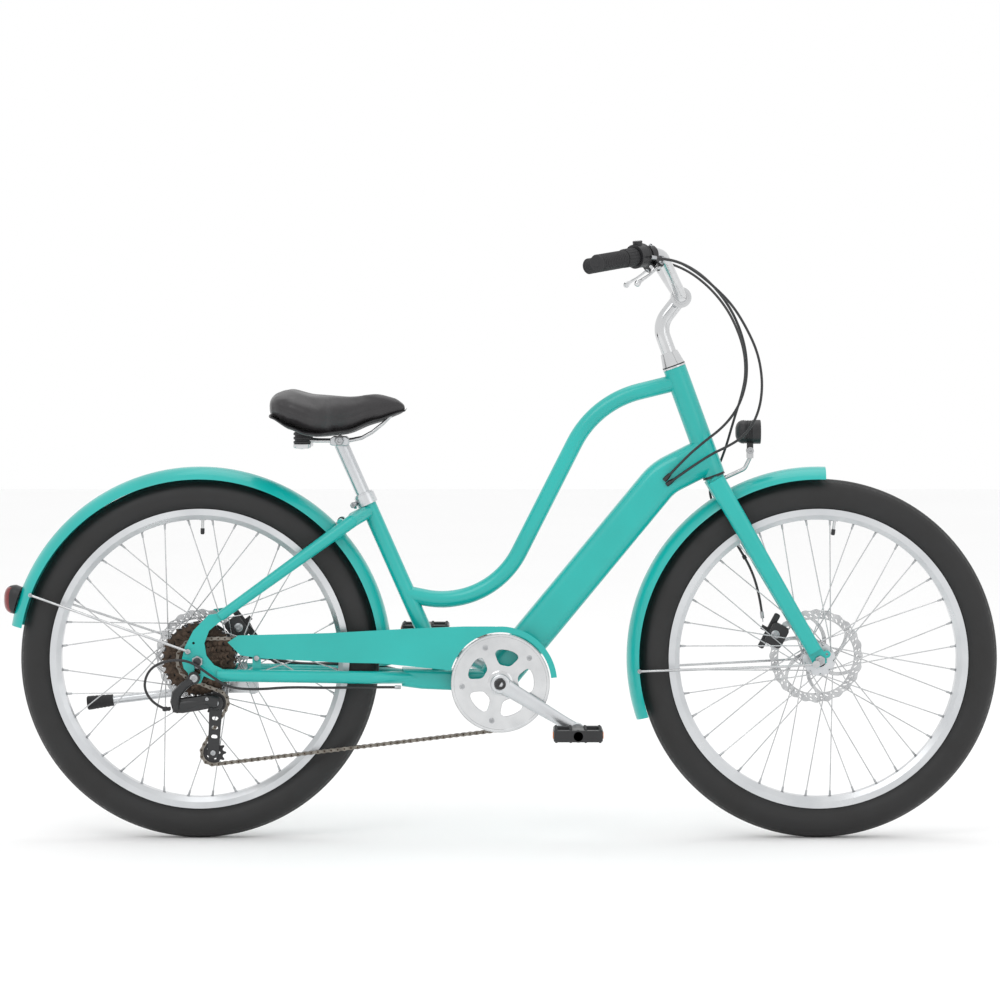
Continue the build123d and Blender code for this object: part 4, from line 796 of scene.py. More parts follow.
# ---------------------------------------------------------------- drive
@dataclass
class Belt:
    """The chain's closed line round its four wheels, in the side view."""

    ring_r: float = 89.0
    cog_r: float = 40.6
    pulley_r: float = 22.5

    def circles(self) -> list[tuple[Vector, float, int]]:
        """Gives each wheel's centre, radius and sense of turn."""
        return [(joint("cassette_spin"), self.cog_r, -1), (joint("crank_spin"), self.ring_r, -1),
                (joint("tension_pulley_spin"), self.pulley_r, -1), (joint("guide_pulley_spin"), self.pulley_r, 1)]

    def line(self, step: float = 1.0) -> tuple[list[Vector], list[int]]:
        """Samples the line.

        Args:
            step: distance between samples on arcs.

        Returns:
            Points with X and Z, and for each the number of the wheel it last left or lies on.
        """
        wheels = self.circles()
        runs = []
        for i, (a, a_r, a_turn) in enumerate(wheels):
            b, b_r, b_turn = wheels[(i + 1) % 4]
            span, lead = Vector((b.x - a.x, b.z - a.z)), a_turn * a_r - b_turn * b_r
            heading = math.atan2(span.y, span.x) + math.atan2(lead, math.sqrt(span.length_squared - lead ** 2))
            right = Vector((math.sin(heading), -math.cos(heading)))
            runs.append((Vector((a.x, a.z)) + right * a_turn * a_r, Vector((b.x, b.z)) + right * b_turn * b_r))
        points, owners = [], []
        for i, (leave, meet) in enumerate(runs):
            count = max(2, int((meet - leave).length / step))
            points += [leave.lerp(meet, k / count) for k in range(count)]
            owners += [i] * count
            centre, radius, turn = wheels[(i + 1) % 4]
            middle, onward = Vector((centre.x, centre.z)), runs[(i + 1) % 4][0]
            begin = math.atan2(meet.y - middle.y, meet.x - middle.x)
            finish = math.atan2(onward.y - middle.y, onward.x - middle.x)
            swing = (finish - begin) * turn % TURN
            count = max(2, int(swing * radius / step))
            points += [middle + Vector((math.cos(begin + turn * swing * k / count),
                                        math.sin(begin + turn * swing * k / count))) * radius for k in range(count)]
            owners += [i + 10] * count
        return points, owners


@dataclass
class Chain:
    """A chain of separate links, in three pieces that follow the frame and the cage."""

    y: float = -46.0
    pitch: float = 12.7
    plate_gap: float = 2.6       # middle to inner plate
    plate_thickness: float = 0.9
    plate_half: float = 3.9
    roller_r: float = 3.8
    belt: Belt = field(default_factory=Belt)

    def pins(self) -> tuple[list[Vector], list[int]]:
        """Gives the pins' places along the line, an even number at nearly the pitch, and each one's run.

        Returns:
            The pins' places and the run each is on.
        """
        points, owners = self.belt.line()
        lengths = [0.0]
        for a, b in zip(points, points[1:] + points[:1]):
            lengths.append(lengths[-1] + (b - a).length)
        count = 2 * round(lengths[-1] / self.pitch / 2)
        places, runs, k = [], [], 0
        for i in range(count):
            target = lengths[-1] * i / count
            while lengths[k + 1] < target:
                k += 1
            share = (target - lengths[k]) / (lengths[k + 1] - lengths[k])
            spot = points[k].lerp(points[(k + 1) % len(points)], share)
            places.append(Vector((spot.x, self.y, spot.y)))
            runs.append(owners[k])
        return places, runs

    def link(self, plates: Shape, rollers: Shape, a: Vector, b: Vector, outer: bool) -> None:
        """Adds one link between two pins.

        Args:
            plates: gathers its plates.
            rollers: gathers its pins or rollers.
            a: the first pin.
            b: the second pin.
            outer: whether its plates are the outer ones, which carry the pins.
        """
        along = (b - a).normalized()
        across = Vector((-along.z, 0, along.x))
        middle, reach, side = (a + b) / 2, (b - a).length / 2, Vector((0, 1, 0))
        offset = self.plate_gap + (self.plate_thickness + 0.1 if outer else 0.0)
        outline = []
        for end in (1, -1):
            for i in range(7):
                angle = math.pi * (i / 6 - 0.5) * 1.25 + (0 if end > 0 else math.pi)
                outline.append((end * reach + self.plate_half * math.cos(angle), self.plate_half * math.sin(angle)))
            outline.append((0.0, end * self.plate_half * 0.66))
        for sign in (1, -1):
            faces = []
            for depth in (offset - self.plate_thickness / 2, offset + self.plate_thickness / 2):
                faces.append([middle + along * x + across * z + side * sign * depth for x, z in outline])
            plates.grid(faces)
            plates.cap(faces[0])
            plates.cap(faces[1])
        for pin in (a, b):
            if outer:
                reach_y = self.plate_gap + self.plate_thickness * 2 + 0.2
                rollers.lathe(pin - side * reach_y, side, [(0, 0), (1.6, 0), (1.8, 0.3), (1.8, 2 * reach_y - 0.3),
                                                           (1.6, 2 * reach_y), (0, 2 * reach_y)], 8)
            else:
                rollers.lathe(pin - side * 2, side, [(self.roller_r, 0), (self.roller_r, 4)], 12)

    def build(self) -> None:
        """Builds the run over the ring and cassette, the run at the cage, and the lower run."""
        places, runs = self.pins()
        count = len(places)
        # Run 0 is the top, 10 the ring, 1 the lower run, 11 the tension pulley, 2 the run
        # between the pulleys, 12 the guide pulley, 3 the short run up, and 13 the cassette.
        groups = {"upper": (0, 10, 13), "cage": (11, 2, 12, 3), "lower": (1,)}
        for name, members in groups.items():
            plates, rollers = Shape(), Shape()
            for i in range(count):
                if runs[i] in members:
                    self.link(plates, rollers, places[i], places[(i + 1) % count], i % 2 == 0)
            body = {"upper": "frame", "cage": "cage", "lower": None}[name]
            links = plates.build(f"chain_plates_{name}", CHAIN_STEEL, body)
            pins = rollers.build(f"chain_pins_{name}", OILED, body)
            if name == "upper":
                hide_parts("chain")
            if name == "lower":
                for piece in (links, pins):
                    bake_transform(piece)


def tooth_loop(teeth: int, pitch_r: float, tip: float = 3.4, root: float = 3.6) -> list[Point]:
    """Outline of a sprocket.

    Args:
        teeth: how many teeth.
        pitch_r: the radius of the chain's pins on it.
        tip: how far tips stand out of that radius.
        root: how far roots lie inside it.

    Returns:
        The outline's points.
    """
    shape = ((-0.5, -root), (-0.36, -root * 0.93), (-0.24, -root * 0.45), (-0.14, tip * 0.45), (-0.06, tip),
             (0.06, tip), (0.14, tip * 0.45), (0.24, -root * 0.45), (0.36, -root * 0.93))
    return [((pitch_r + rise) * math.cos(TURN * (i + share) / teeth),
             (pitch_r + rise) * math.sin(TURN * (i + share) / teeth)) for i in range(teeth) for share, rise in shape]


@dataclass
class Drive:
    """Toothed chainring with its guard ring, the cassette, and the derailleur's wheels."""

    y: float = -46.0
    pitch: float = 12.7
    ring_teeth: int = 44
    cogs: tuple[int, ...] = (34, 28, 24, 20, 18, 16, 14)
    drive_cog: int = 3
    cog_step: float = 5.0
    cog_thickness: float = 1.8
    ring_thickness: float = 2.2
    guard_r: float = 94.0
    guard_y: float = -51.4
    crank_deg: float = -31.0
    pulley_teeth: int = 11
    u: Vector = field(default_factory=lambda: Vector((1, 0, 0)))
    v: Vector = field(default_factory=lambda: Vector((0, 0, 1)))

    def pitch_radius(self, teeth: int) -> float:
        """Radius of the pins round a sprocket."""
        return self.pitch / (2 * math.sin(math.pi / teeth))

    def build(self) -> None:
        """Builds the toothed wheels."""
        self.chainring()
        self.cassette()
        self.pulleys()

    def chainring(self) -> None:
        """Builds the toothed ring, the polished guard ring and their bolts."""
        centre = joint("crank_spin")
        teeth = Shape()
        loops = [tooth_loop(self.ring_teeth, self.pitch_radius(self.ring_teeth)), ring(67, 96)]
        teeth.plate(centre + Vector((0, self.y, 0)), self.u, self.v, loops, self.ring_thickness, 0.35)
        teeth.build("chainring_teeth", CAST_BLACK, "crankset")
        guard = Shape()
        loops = [ring(self.guard_r, 144), ring(9.0, 32)]
        turn = math.radians(self.crank_deg)
        for arm in range(5):
            middle = turn + TURN * (arm + 0.5) / 5
            loops.append(self.window(middle))
        guard.plate(centre + Vector((0, self.guard_y, 0)), self.u, self.v, loops, 2.2, 0.5)
        guard.lathe(centre + Vector((0, self.guard_y - 1.1, 0)), Vector((0, -1, 0)),
                    [(88, 0), (88.5, 1.1), (92.5, 1.1), (93, 0)], 144)
        guard.lathe(centre + Vector((0, self.y + 4, 0)), Vector((0, -1, 0)),
                    [(9, 0), (24, 0), (24, 10.5), (20, 12.5), (9, 12.5)], 64)
        guard.build("chain_guard_ring", POLISHED, "crankset", replaces=["chainring"])
        bolts = Shape()
        for x, z in ring(73.0, 5, turn):
            bolts.bolt(centre + Vector((x, self.guard_y - 1.1, z)), Vector((0, -1, 0)), 5.0, 2.2, 0.6)
            bolts.lathe(centre + Vector((x, self.y + 1, z)), Vector((0, -1, 0)), [(6, 0), (6, 5), (0, 5)], 16)
        bolts.build("chainring_bolts", ZINC, "crankset")

    def window(self, middle: float) -> list[Point]:
        """Outline of one window of the guard ring, a rounded wedge.

        Args:
            middle: the angle of its middle, in radians.

        Returns:
            The outline's points.
        """
        low, high, spread, steps = 34.0, 64.0, 0.44, 40
        points = []
        for i in range(steps):
            a = TURN * i / steps
            c, s = math.cos(a), math.sin(a)
            r = (low + high) / 2 + (high - low) / 2 * math.copysign(abs(c) ** 0.6, c)
            width = spread * (0.72 + 0.28 * (r - low) / (high - low))
            turn = middle + width * math.copysign(abs(s) ** 0.6, s)
            points.append((r * math.cos(turn), r * math.sin(turn)))
        return points

    def cassette(self) -> None:
        """Builds seven toothed cogs, their spacers and the lock ring."""
        centre, face = joint("cassette_spin"), self.y + self.cog_step * self.drive_cog
        cogs = Shape()
        for index, teeth in enumerate(self.cogs):
            radius = self.pitch_radius(teeth)
            loops = [tooth_loop(teeth, radius, 3.0), ring(17.5, 40)]
            if radius > 44:
                count = 8 if index else 10
                for x, z in ring((radius + 18) / 2 + 1, count, 0.3 * index):
                    loops.append([(x + a, z + b) for a, b in ring((radius - 26) / 3.4, 14)])
            cogs.plate(centre + Vector((0, face - self.cog_step * index, 0)), self.u, self.v, loops,
                       self.cog_thickness, 0.3)
        cogs.lathe(centre + Vector((0, face + 4, 0)), Vector((0, -1, 0)),
                   [(7, 0), (19.5, 0), (19.5, 35), (7, 35)], 40)
        cogs.build("cassette_cogs", OILED, "cassette_body", replaces=["cassette"])
        lock = Shape()
        lock.lathe(centre + Vector((0, face - 31, 0)), Vector((0, -1, 0)),
                   [(8, 0), (17, 0), (17, 3), (15, 4), (12, 4), (11, 2), (8, 2)], 48)
        lock.build("cassette_lock_ring", ZINC, "cassette_body")

    def pulleys(self) -> None:
        """Builds the derailleur's two toothed wheels."""
        for name, body in (("guide_pulley", "upper_pulley"), ("tension_pulley", "lower_pulley")):
            wheel, centre = Shape(), joint(f"{name}_spin")
            loops = [tooth_loop(self.pulley_teeth, self.pitch_radius(self.pulley_teeth), 2.2), ring(3.2, 20)]
            for x, z in ring(11.0, 5):
                loops.append([(x + a, z + b) for a, b in ring(2.6, 10)])
            wheel.plate(centre + Vector((0, self.y, 0)), self.u, self.v, loops, 2.4, 0.3)
            wheel.lathe(centre + Vector((0, self.y - 4.2, 0)), Vector((0, 1, 0)),
                        [(3.2, 0), (7, 0), (7, 8.4), (3.2, 8.4)], 24)
            wheel.build(f"{name}_toothed", ABS_BLACK, body, replaces=[name])


@dataclass
class Cockpit:
    """Grips, twist sleeve, brake levers and the small parts on the handlebar."""

    grip_r: float = 16.0
    grip_length: float = 74.0
    long_grip: float = 104.0
    drum_start: float = 104.4
    drum_end: float = 130.4
    lever_length: float = 95.0
    clamp: Vector = field(default_factory=lambda: Vector((344.6, 0.0, 1031.9)))
    reach: Vector = field(default_factory=lambda: Vector((0.5659, -0.4022, -0.7197)))
    blade: Vector = field(default_factory=lambda: Vector((-0.4635, -0.8202, -0.3354)))

    def mirrored(self, point: Vector, side: int) -> Vector:
        """A point or direction of the right side, on the given side."""
        return Vector((point.x, -side * point.y, point.z))

    def bar(self, side: int) -> tuple[Vector, Vector]:
        """End of the bar and the direction inward along it."""
        record = next(j for j in frame["joints"] if j["name"] == "twist_shift")
        return self.mirrored(Vector(record["pos_m"]) / MM, side), self.mirrored(Vector(record["axis"]), side)

    def build(self) -> None:
        """Builds the pieces on both sides."""
        for side, label in ((-1, "right"), (1, "left")):
            self.grip(side, label)
            self.lever(side, label)
        self.sleeve()
        self.shifter()
        self.stem()

    def grip(self, side: int, label: str) -> None:
        """Builds one ribbed grip with its rounded end and its inner collar.

        Args:
            side: -1 for right, 1 for left.
            label: the side in words, for names.
        """
        outer, inward = self.bar(side)
        length = self.grip_length if side < 0 else self.long_grip
        profile = [(0, -4), (7, -4), (8, -3.2), (12, -3.2), (14.6, -2.4), (15.9, -0.5), (15.9, 2.5), (15.0, 3)]
        at = 5.0
        while at < length - 9:
            profile += [(15.0, at), (self.grip_r - 0.2, at + 0.6), (self.grip_r - 0.2, at + 2.6), (15.0, at + 3.2)]
            at += 4.6
        profile += [(15.0, length - 5), (self.grip_r, length - 4), (self.grip_r, length - 0.6), (15.2, length),
                    (11.2, length)]
        rows, (u, v) = [], basis(inward)
        for radius, along in profile:
            row = []
            for x, y in ring(1.0, 60):
                ribbed = 4 < along < length - 6
                angle = math.atan2(y, x)
                dip = 0.35 * (0.5 + 0.5 * math.cos(angle * 30)) if ribbed else 0.0
                row.append(outer + inward * along + (u * x + v * y) * max(radius - dip, 0.01))
            rows.append(row)
        shape = Shape()
        shape.grid(rows)
        piece = shape.build(f"{label}_grip_ribbed", GRIP_RUBBER, "steering", 30)
        if side < 0:
            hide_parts("grips")

    def sleeve(self) -> None:
        """Builds the knurled twist sleeve of the shifter."""
        outer, inward = self.bar(-1)
        (u, v), rows = basis(inward), []
        for radius, along, knurled in (
            (11.3, 74.5, False), (16.4, 74.5, False), (17.3, 75.5, False), (17.3, 77, True), (17.5, 79, True),
            (17.5, 98, True), (17.3, 100.5, True), (17.3, 103, False), (16.6, 103.9, False), (11.3, 103.9, False),
        ):
            rows.append([outer + inward * along + (u * x + v * y)
                         * (radius - (0.9 * max(0.0, math.cos(18 * math.atan2(y, x))) if knurled else 0.0))
                         for x, y in ring(1.0, 144)])
        shape = Shape()
        shape.grid(rows, looped=True)
        shape.build("twist_sleeve_knurled", GRIP_RUBBER, "twist_sleeve", 30, ["twist_shifter"])

    def shifter(self) -> None:
        """Adds the rim bands and gear window of the shifter body, and the perches' screws."""
        outer, inward = self.bar(-1)
        tall = (Vector((0, 0, 1)) - inward * inward.z).normalized()
        bands = Shape()
        for at in (self.drum_start + 0.2, self.drum_end - 3.4):
            bands.lathe(outer + inward * at, inward, [(21, 0), (22.4, 0.5), (22.4, 2.7), (21, 3.2)], 64, looped=True)
        bands.build("shifter_bands", ABS_BLACK, "steering")
        top = outer + inward * ((self.drum_start + self.drum_end) / 2) + tall * 26.6
        window = Shape()
        window.lathe(top, tall, [(0, 0), (7.2, 0), (7.2, 0.7), (5.5, 1.5), (0, 1.9)], 40)
        window.build("gear_window", LENS, "steering")
        bezel = Shape()
        bezel.lathe(top, tall, [(7.0, -0.4), (9.2, -0.4), (9.2, 0.8), (8.2, 1.6), (7.0, 1.2)], 48, looped=True)
        bezel.build("gear_window_bezel", ABS_BLACK, "steering")
        pointer = Shape()
        pointer.sweep([top + inward * -3.5 + tall * 0.25, top + inward * 3.5 + tall * 0.25], 0.6, 8)
        pointer.build("gear_pointer", AMBER_LENS, "steering")
        screws = Shape()
        for side in (-1, 1):
            root, way = self.bar(side)
            reach = self.mirrored(self.reach, side)
            across = reach.cross(way).normalized()
            clamp = root + way * 149.4
            screws.bolt(clamp - reach * 9 + across * 13.4, across, 3.6, 3.0, 0.4)
            pivot = root + way * 149.4 + reach * 30
            squeeze = across
            screws.bolt(pivot + squeeze * 7.4, squeeze, 4.4, 1.8, 0.6)
            stop = clamp + way * 26 + reach * 17
            screws.lathe(stop, way, [(4.2, -6), (4.6, -5.6), (4.6, 1.2), (3.6, 2), (2.6, 6), (2.5, 6)], 18)
        screws.build("perch_screws", ZINC, "steering")

    def lever(self, side: int, label: str) -> None:
        """Builds one brake lever: a flat curved blade with a ball end.

        Args:
            side: -1 for right, 1 for left.
            label: the side in words, for names.
        """
        name = f"{label}_brake_lever"
        pivot, blade = joint(f"{label}_brake_squeeze"), self.mirrored(self.blade, side)
        reach = self.mirrored(self.reach, side)
        away = (reach - blade * reach.dot(blade)).normalized()
        squeeze = blade.cross(away).normalized()
        path, radii = [], []
        for i in range(25):
            share = i / 24
            path.append(pivot + blade * self.lever_length * share
                        + away * (2.6 * math.sin(math.pi * share) + 2.0 * max(0.0, share - 0.75) / 0.25))
            radii.append(4.3 - 0.9 * math.sin(math.pi * min(share * 1.25, 1.0)) + (1.3 if share > 0.9 else 0.0))
        shape = Shape()
        shape.sweep(path, radii, 20, 0.72, squeeze)
        shape.lathe(path[-1] - blade * 4.5, blade,
                    [(0, -0.5), (3.2, 0), (5.4, 2.2), (6.2, 5), (5.4, 8), (3.2, 10.4), (0, 11)], 24)
        shape.lathe(pivot - squeeze * 3.9, squeeze, [(2.6, 0), (6.4, 0), (6.4, 7.8), (2.6, 7.8)], 28, looped=True)
        shape.build(f"{name}_forged", POLISHED, f"lever_{label}", replaces=[name])

    def stem(self) -> None:
        """Adds the bar clamp's two bolts and the headset's lines."""
        bolts = Shape()
        below = Vector((-0.62, 0, -0.78)).normalized()
        for y in (-14, 14):
            bolts.bolt(self.clamp + below * 19.0 + Vector((0, y, 0)), below, 4.6, 4.0, 0.6)
        bolts.build("stem_bolts", ZINC, "steering")
        axis = Vector((-math.sin(math.radians(20)), 0, math.cos(math.radians(20))))
        crown = joint("steer")
        seals = Shape()
        for up, radius in ((18 + 222 + 0.0, 22.2), (14.4, 21.9)):
            seals.lathe(crown + axis * (up - 1.2), axis,
                        [(radius - 2, 0), (radius, 0.3), (radius, 2.1), (radius - 2, 2.4)], 72, looped=True)
        seals.build("headset_seals", ABS_BLACK, "frame")
        cups = Shape()
        cups.lathe(crown + axis * 235, axis, [(22, 0), (22.8, 0.5), (22.8, 3.6), (22, 4)], 72, looped=True)
        cups.build("headset_cup", POLISHED, "frame")


@dataclass
class Cables:
    """Sheathed cables along smooth lines; their points are the model's routes."""

    radius: float = 2.5
    routes: dict[str, tuple[tuple[float, float, float], ...]] = field(default_factory=lambda: CABLE_ROUTES)

    def line(self, points: Sequence[Sequence[float]]) -> list[Vector]:
        """Reads the smooth line that goes by its control points.

        Args:
            points: the control points, in millimetres.

        Returns:
            Points along the spline, in millimetres.
        """
        curve = bpy.data.curves.new("route", "CURVE")
        curve.dimensions, curve.resolution_u = "3D", 14
        spline = curve.splines.new("NURBS")
        spline.points.add(len(points) - 1)
        for target, place in zip(spline.points, points):
            target.co = (*place, 1)
        spline.order_u, spline.use_endpoint_u = 3, True
        holder = bpy.data.objects.new("route", curve)
        mesh = bpy.data.meshes.new_from_object(holder)
        found = [v.co.copy() for v in mesh.vertices]
        bpy.data.objects.remove(holder)
        bpy.data.curves.remove(curve)
        bpy.data.meshes.remove(mesh)
        return found

    def build(self) -> None:
        """Builds each cable and says what it is."""
        shown: dict[str, list[str]] = {"bar_cables": ["shift_cable_at_bar", "rear_brake_cable_at_bar"],
                                       "rear_cables": ["shift_cable_at_stay", "rear_brake_cable_at_stay",
                                                       "motor_lead"],
                                       "front_brake_cable": ["front_brake_cable_sheath"]}
        for node, names in shown.items():
            for number, name in enumerate(names):
                radius = 3.5 if name == "motor_lead" else self.radius
                line, shape = self.line(self.routes[name]), Shape()
                shape.sweep(line, radius, 12)
                body = {"front_brake_cable": "steering", "rear_cables": "frame", "bar_cables": None}[node]
                piece = shape.build(name, PVC, body, replaces=[node] if number == 0 else ())
                if body is None:
                    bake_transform(piece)
        self.fittings()

    def fittings(self) -> None:
        """Builds the sleeves at the cables' ends, the ports in the down tube and the clips."""
        for name, body in (("shift_cable_at_bar", "steering"), ("rear_brake_cable_at_bar", "steering"),
                           ("front_brake_cable_sheath", "steering"), ("shift_cable_at_stay", "frame")):
            line, shape = self.line(self.routes[name]), Shape()
            start = (line[3] - line[0]).normalized()
            shape.lathe(line[0] - start * 1.0, start,
                        [(2.6, 0), (3.6, 0.3), (3.6, 11), (3.1, 12), (2.6, 12)], 16, looped=True)
            if name == "front_brake_cable_sheath":
                end = (line[-1] - line[-4]).normalized()
                shape.lathe(line[-1] - end * 12, end,
                            [(2.6, 0), (3.6, 0.3), (3.6, 13), (1.0, 14), (1.0, 20), (0, 20)], 16)
            shape.build(f"{name}_ferrule", ZINC, body)
        ports = Shape()
        for name in ("shift_cable_at_bar", "rear_brake_cable_at_bar"):
            line = self.line(self.routes[name])
            along = (line[-1] - line[-5]).normalized()
            flat = Vector((along.x, 0, along.z)).normalized()
            ports.sweep([line[-1] - flat * 13 + Vector((0, 1.0, 0)), line[-1] - flat * 3 + Vector((0, 1.5, 0)),
                         line[-1] + flat * 4 + Vector((0, 2.0, 0))], [3.4, 4.6, 4.2], 16)
        ports.build("cable_ports", ABS_BLACK, "frame")
        clips = Shape()
        line = self.line(self.routes["front_brake_cable_sheath"])
        crown = joint("steer")
        for down in (70.0, 165.0):
            spot = min(line, key=lambda p: abs((p - crown).length - down) + (200 if p.z > crown.z else 0))
            k = line.index(spot)
            along = (line[k + 1] - line[k - 1]).normalized()
            clips.lathe(spot - along * 4, along, [(2.6, 0), (4.0, 0.4), (4.0, 7.6), (2.6, 8)], 18, looped=True)
        clips.build("fork_cable_clips", ABS_BLACK, "steering")
        ties = Shape()
        line = self.line(self.routes["rear_brake_cable_at_stay"])
        for share in (0.35, 0.55):
            k = int(share * (len(line) - 1))
            along = (line[k + 1] - line[k - 1]).normalized()
            ties.lathe(line[k] - along * 2, along, [(2.6, 0), (3.5, 0.3), (3.5, 3.7), (2.6, 4)], 16, looped=True)
        ties.build("stay_cable_ties", ABS_BLACK, "frame")


@dataclass
class Saddle:
    """A padded saddle top, its base, and its rails, clamp and springs."""

    back: float = -442.0
    nose: float = -176.0
    voxel_mm: float = 5.0
    swell_cap_mm: float = 5.0
    inset_mm: float = 2.5
    seat: Vector = field(default_factory=lambda: Vector((-305.0, 0.0, 752.4)))
    widths: tuple[Point, ...] = ((0, 58), (6, 92), (22, 110), (45, 121), (75, 124), (105, 106), (130, 78),
                                 (155, 55), (185, 38), (216, 31), (240, 26), (254, 22), (263, 14), (266, 5))
    tops: tuple[Point, ...] = ((0, 84), (6, 94), (15, 102), (42, 103), (87, 92), (157, 88), (212, 95), (245, 91),
                               (260, 82), (266, 74))
    bottoms: tuple[Point, ...] = ((0, 50), (7, 46), (45, 25), (73, 14), (96, 11), (149, 16), (202, 37), (259, 58),
                                  (266, 68))

    @staticmethod
    def at(table: Sequence[Point], x: float) -> float:
        """Reads a table of pairs smoothly at x."""
        for (x0, y0), (x1, y1) in zip(table, table[1:]):
            if x <= x1:
                share = (x - x0) / (x1 - x0)
                share = share * share * (3 - 2 * share) * 0.5 + share * 0.5
                return y0 + (y1 - y0) * share
        return table[-1][1]

    def section(self, x: float, inset: float, low_share: float = 0.0, high_share: float = 1.0) -> list[Vector]:
        """Gives one cross-section of the saddle.

        Args:
            x: distance from the back.
            inset: how far it stays inside the full shape.
            low_share: where its bottom lies between the full bottom and top.
            high_share: where its top lies.

        Returns:
            A ring of points.
        """
        width = self.at(self.widths, x) - inset
        full_low, full_high = self.at(self.bottoms, x) + inset, self.at(self.tops, x) - inset
        low = full_low + (full_high - full_low) * low_share
        high = full_low + (full_high - full_low) * high_share
        points = []
        for i in range(48):
            a = TURN * i / 48
            c, s = math.cos(a), math.sin(a)
            y = width * math.copysign(abs(c) ** 0.62, c)
            if s >= 0:
                z = (low + high) / 2 + (high - low) / 2 * abs(s) ** 0.55
                z -= (high - low) * 0.08 * (abs(y) / width) ** 2
                groove = max(0.0, 1 - (y / 9.0) ** 2) * (3.0 if 40 < x < 215 else 0.0)
                z -= groove if s > 0.5 else 0.0
            else:
                z = (low + high) / 2 - (high - low) / 2 * abs(s) ** 0.7
            points.append(Vector((self.back + x, y, self.seat.z + z)))
        return points

    def body(self, inset: float, low_share: float, high_share: float) -> Shape:
        """Lofts the saddle, or a slice of its height, from back to nose.

        Args:
            inset: how far it stays inside the full shape.
            low_share: where its bottom lies between the full bottom and top.
            high_share: where its top lies.

        Returns:
            The lofted shape.
        """
        shape, stations = Shape(), []
        count = 40
        for i in range(count + 1):
            share = 0.5 - 0.5 * math.cos(math.pi * i / count)
            stations.append(inset + (self.nose - self.back - 2 * inset) * share)
        rows = [self.section(x, inset, low_share, high_share) for x in stations]
        shape.grid(rows)
        shape.cap(rows[0])
        shape.cap(rows[-1])
        return shape

    def build(self) -> None:
        """Builds the padded top, then what carries it."""
        self.cushion()
        rim = self.body(3.0, 0.0, 0.16)
        rim.build("saddle_base", ABS_BLACK, "seat", 40)
        self.undercarriage()

    def cushion(self) -> None:
        """Builds the vinyl-covered foam: a lofted form swelled by cloth pressure, then creased."""
        shape = self.body(self.inset_mm, 0.06, 1.0)
        pad = shape.build("saddle_cushion", VINYL, None, 60)
        start = pad.data
        work = pad.modifiers.new("even", "REMESH")
        work.mode, work.voxel_size = "VOXEL", self.voxel_mm * MM
        self.bake(pad)
        cloth = pad.modifiers.new("foam", "CLOTH")
        cloth.settings.use_pressure, cloth.settings.uniform_pressure_force = True, 4.0
        cloth.settings.effector_weights.gravity = 0.0
        cloth.settings.tension_stiffness = cloth.settings.compression_stiffness = 40.0
        cloth.point_cache.frame_start, cloth.point_cache.frame_end = 1, 20
        before = [v.co.copy() for v in pad.data.vertices]
        for number in range(1, 21):
            bpy.context.scene.frame_set(number)
        self.bake(pad)
        bpy.context.scene.frame_set(1)
        for vertex, rest in zip(pad.data.vertices, before):
            move = vertex.co - rest
            cap = self.swell_cap_mm * MM
            if move.length > cap:
                vertex.co = rest + move.normalized() * cap
        smooth = pad.modifiers.new("smooth", "SMOOTH")
        smooth.factor, smooth.iterations = 0.5, 3
        split = pad.modifiers.new("finer", "SUBSURF")
        split.levels = split.render_levels = 1
        self.bake(pad)
        self.crease(pad)
        bpy.data.meshes.remove(start)
        pad.data.shade_smooth()
        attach(pad, "seat")
        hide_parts("saddle")

    @staticmethod
    def bake(piece: bpy.types.Object) -> None:
        """Turns a piece's modifiers into its mesh.

        Args:
            piece: the object whose modifiers are applied.
        """
        bpy.context.view_layer.update()
        done = bpy.data.meshes.new_from_object(piece.evaluated_get(bpy.context.evaluated_depsgraph_get()))
        piece.modifiers.clear()
        done.materials.clear()
        done.materials.append(VINYL.material())
        piece.data = done

    def crease(self, pad: bpy.types.Object) -> None:
        """Sinks the sewn crease that runs round the saddle under its shoulder."""
        for vertex in pad.data.vertices:
            x = vertex.co.x / MM - self.back
            if not 0 < x < 266:
                continue
            top, low = self.at(self.tops, x) + self.seat.z, self.at(self.bottoms, x) + self.seat.z
            z = vertex.co.z / MM
            line = top - (top - low) * (0.42 + 0.10 * math.sin(math.pi * x / 266))
            depth = 1.5 * math.exp(-((z - line) / 2.6) ** 2)
            outward = Vector((0, vertex.co.y, 0))
            if outward.length > 0.6 * self.at(self.widths, x) * MM:
                vertex.co -= outward.normalized() * depth * MM

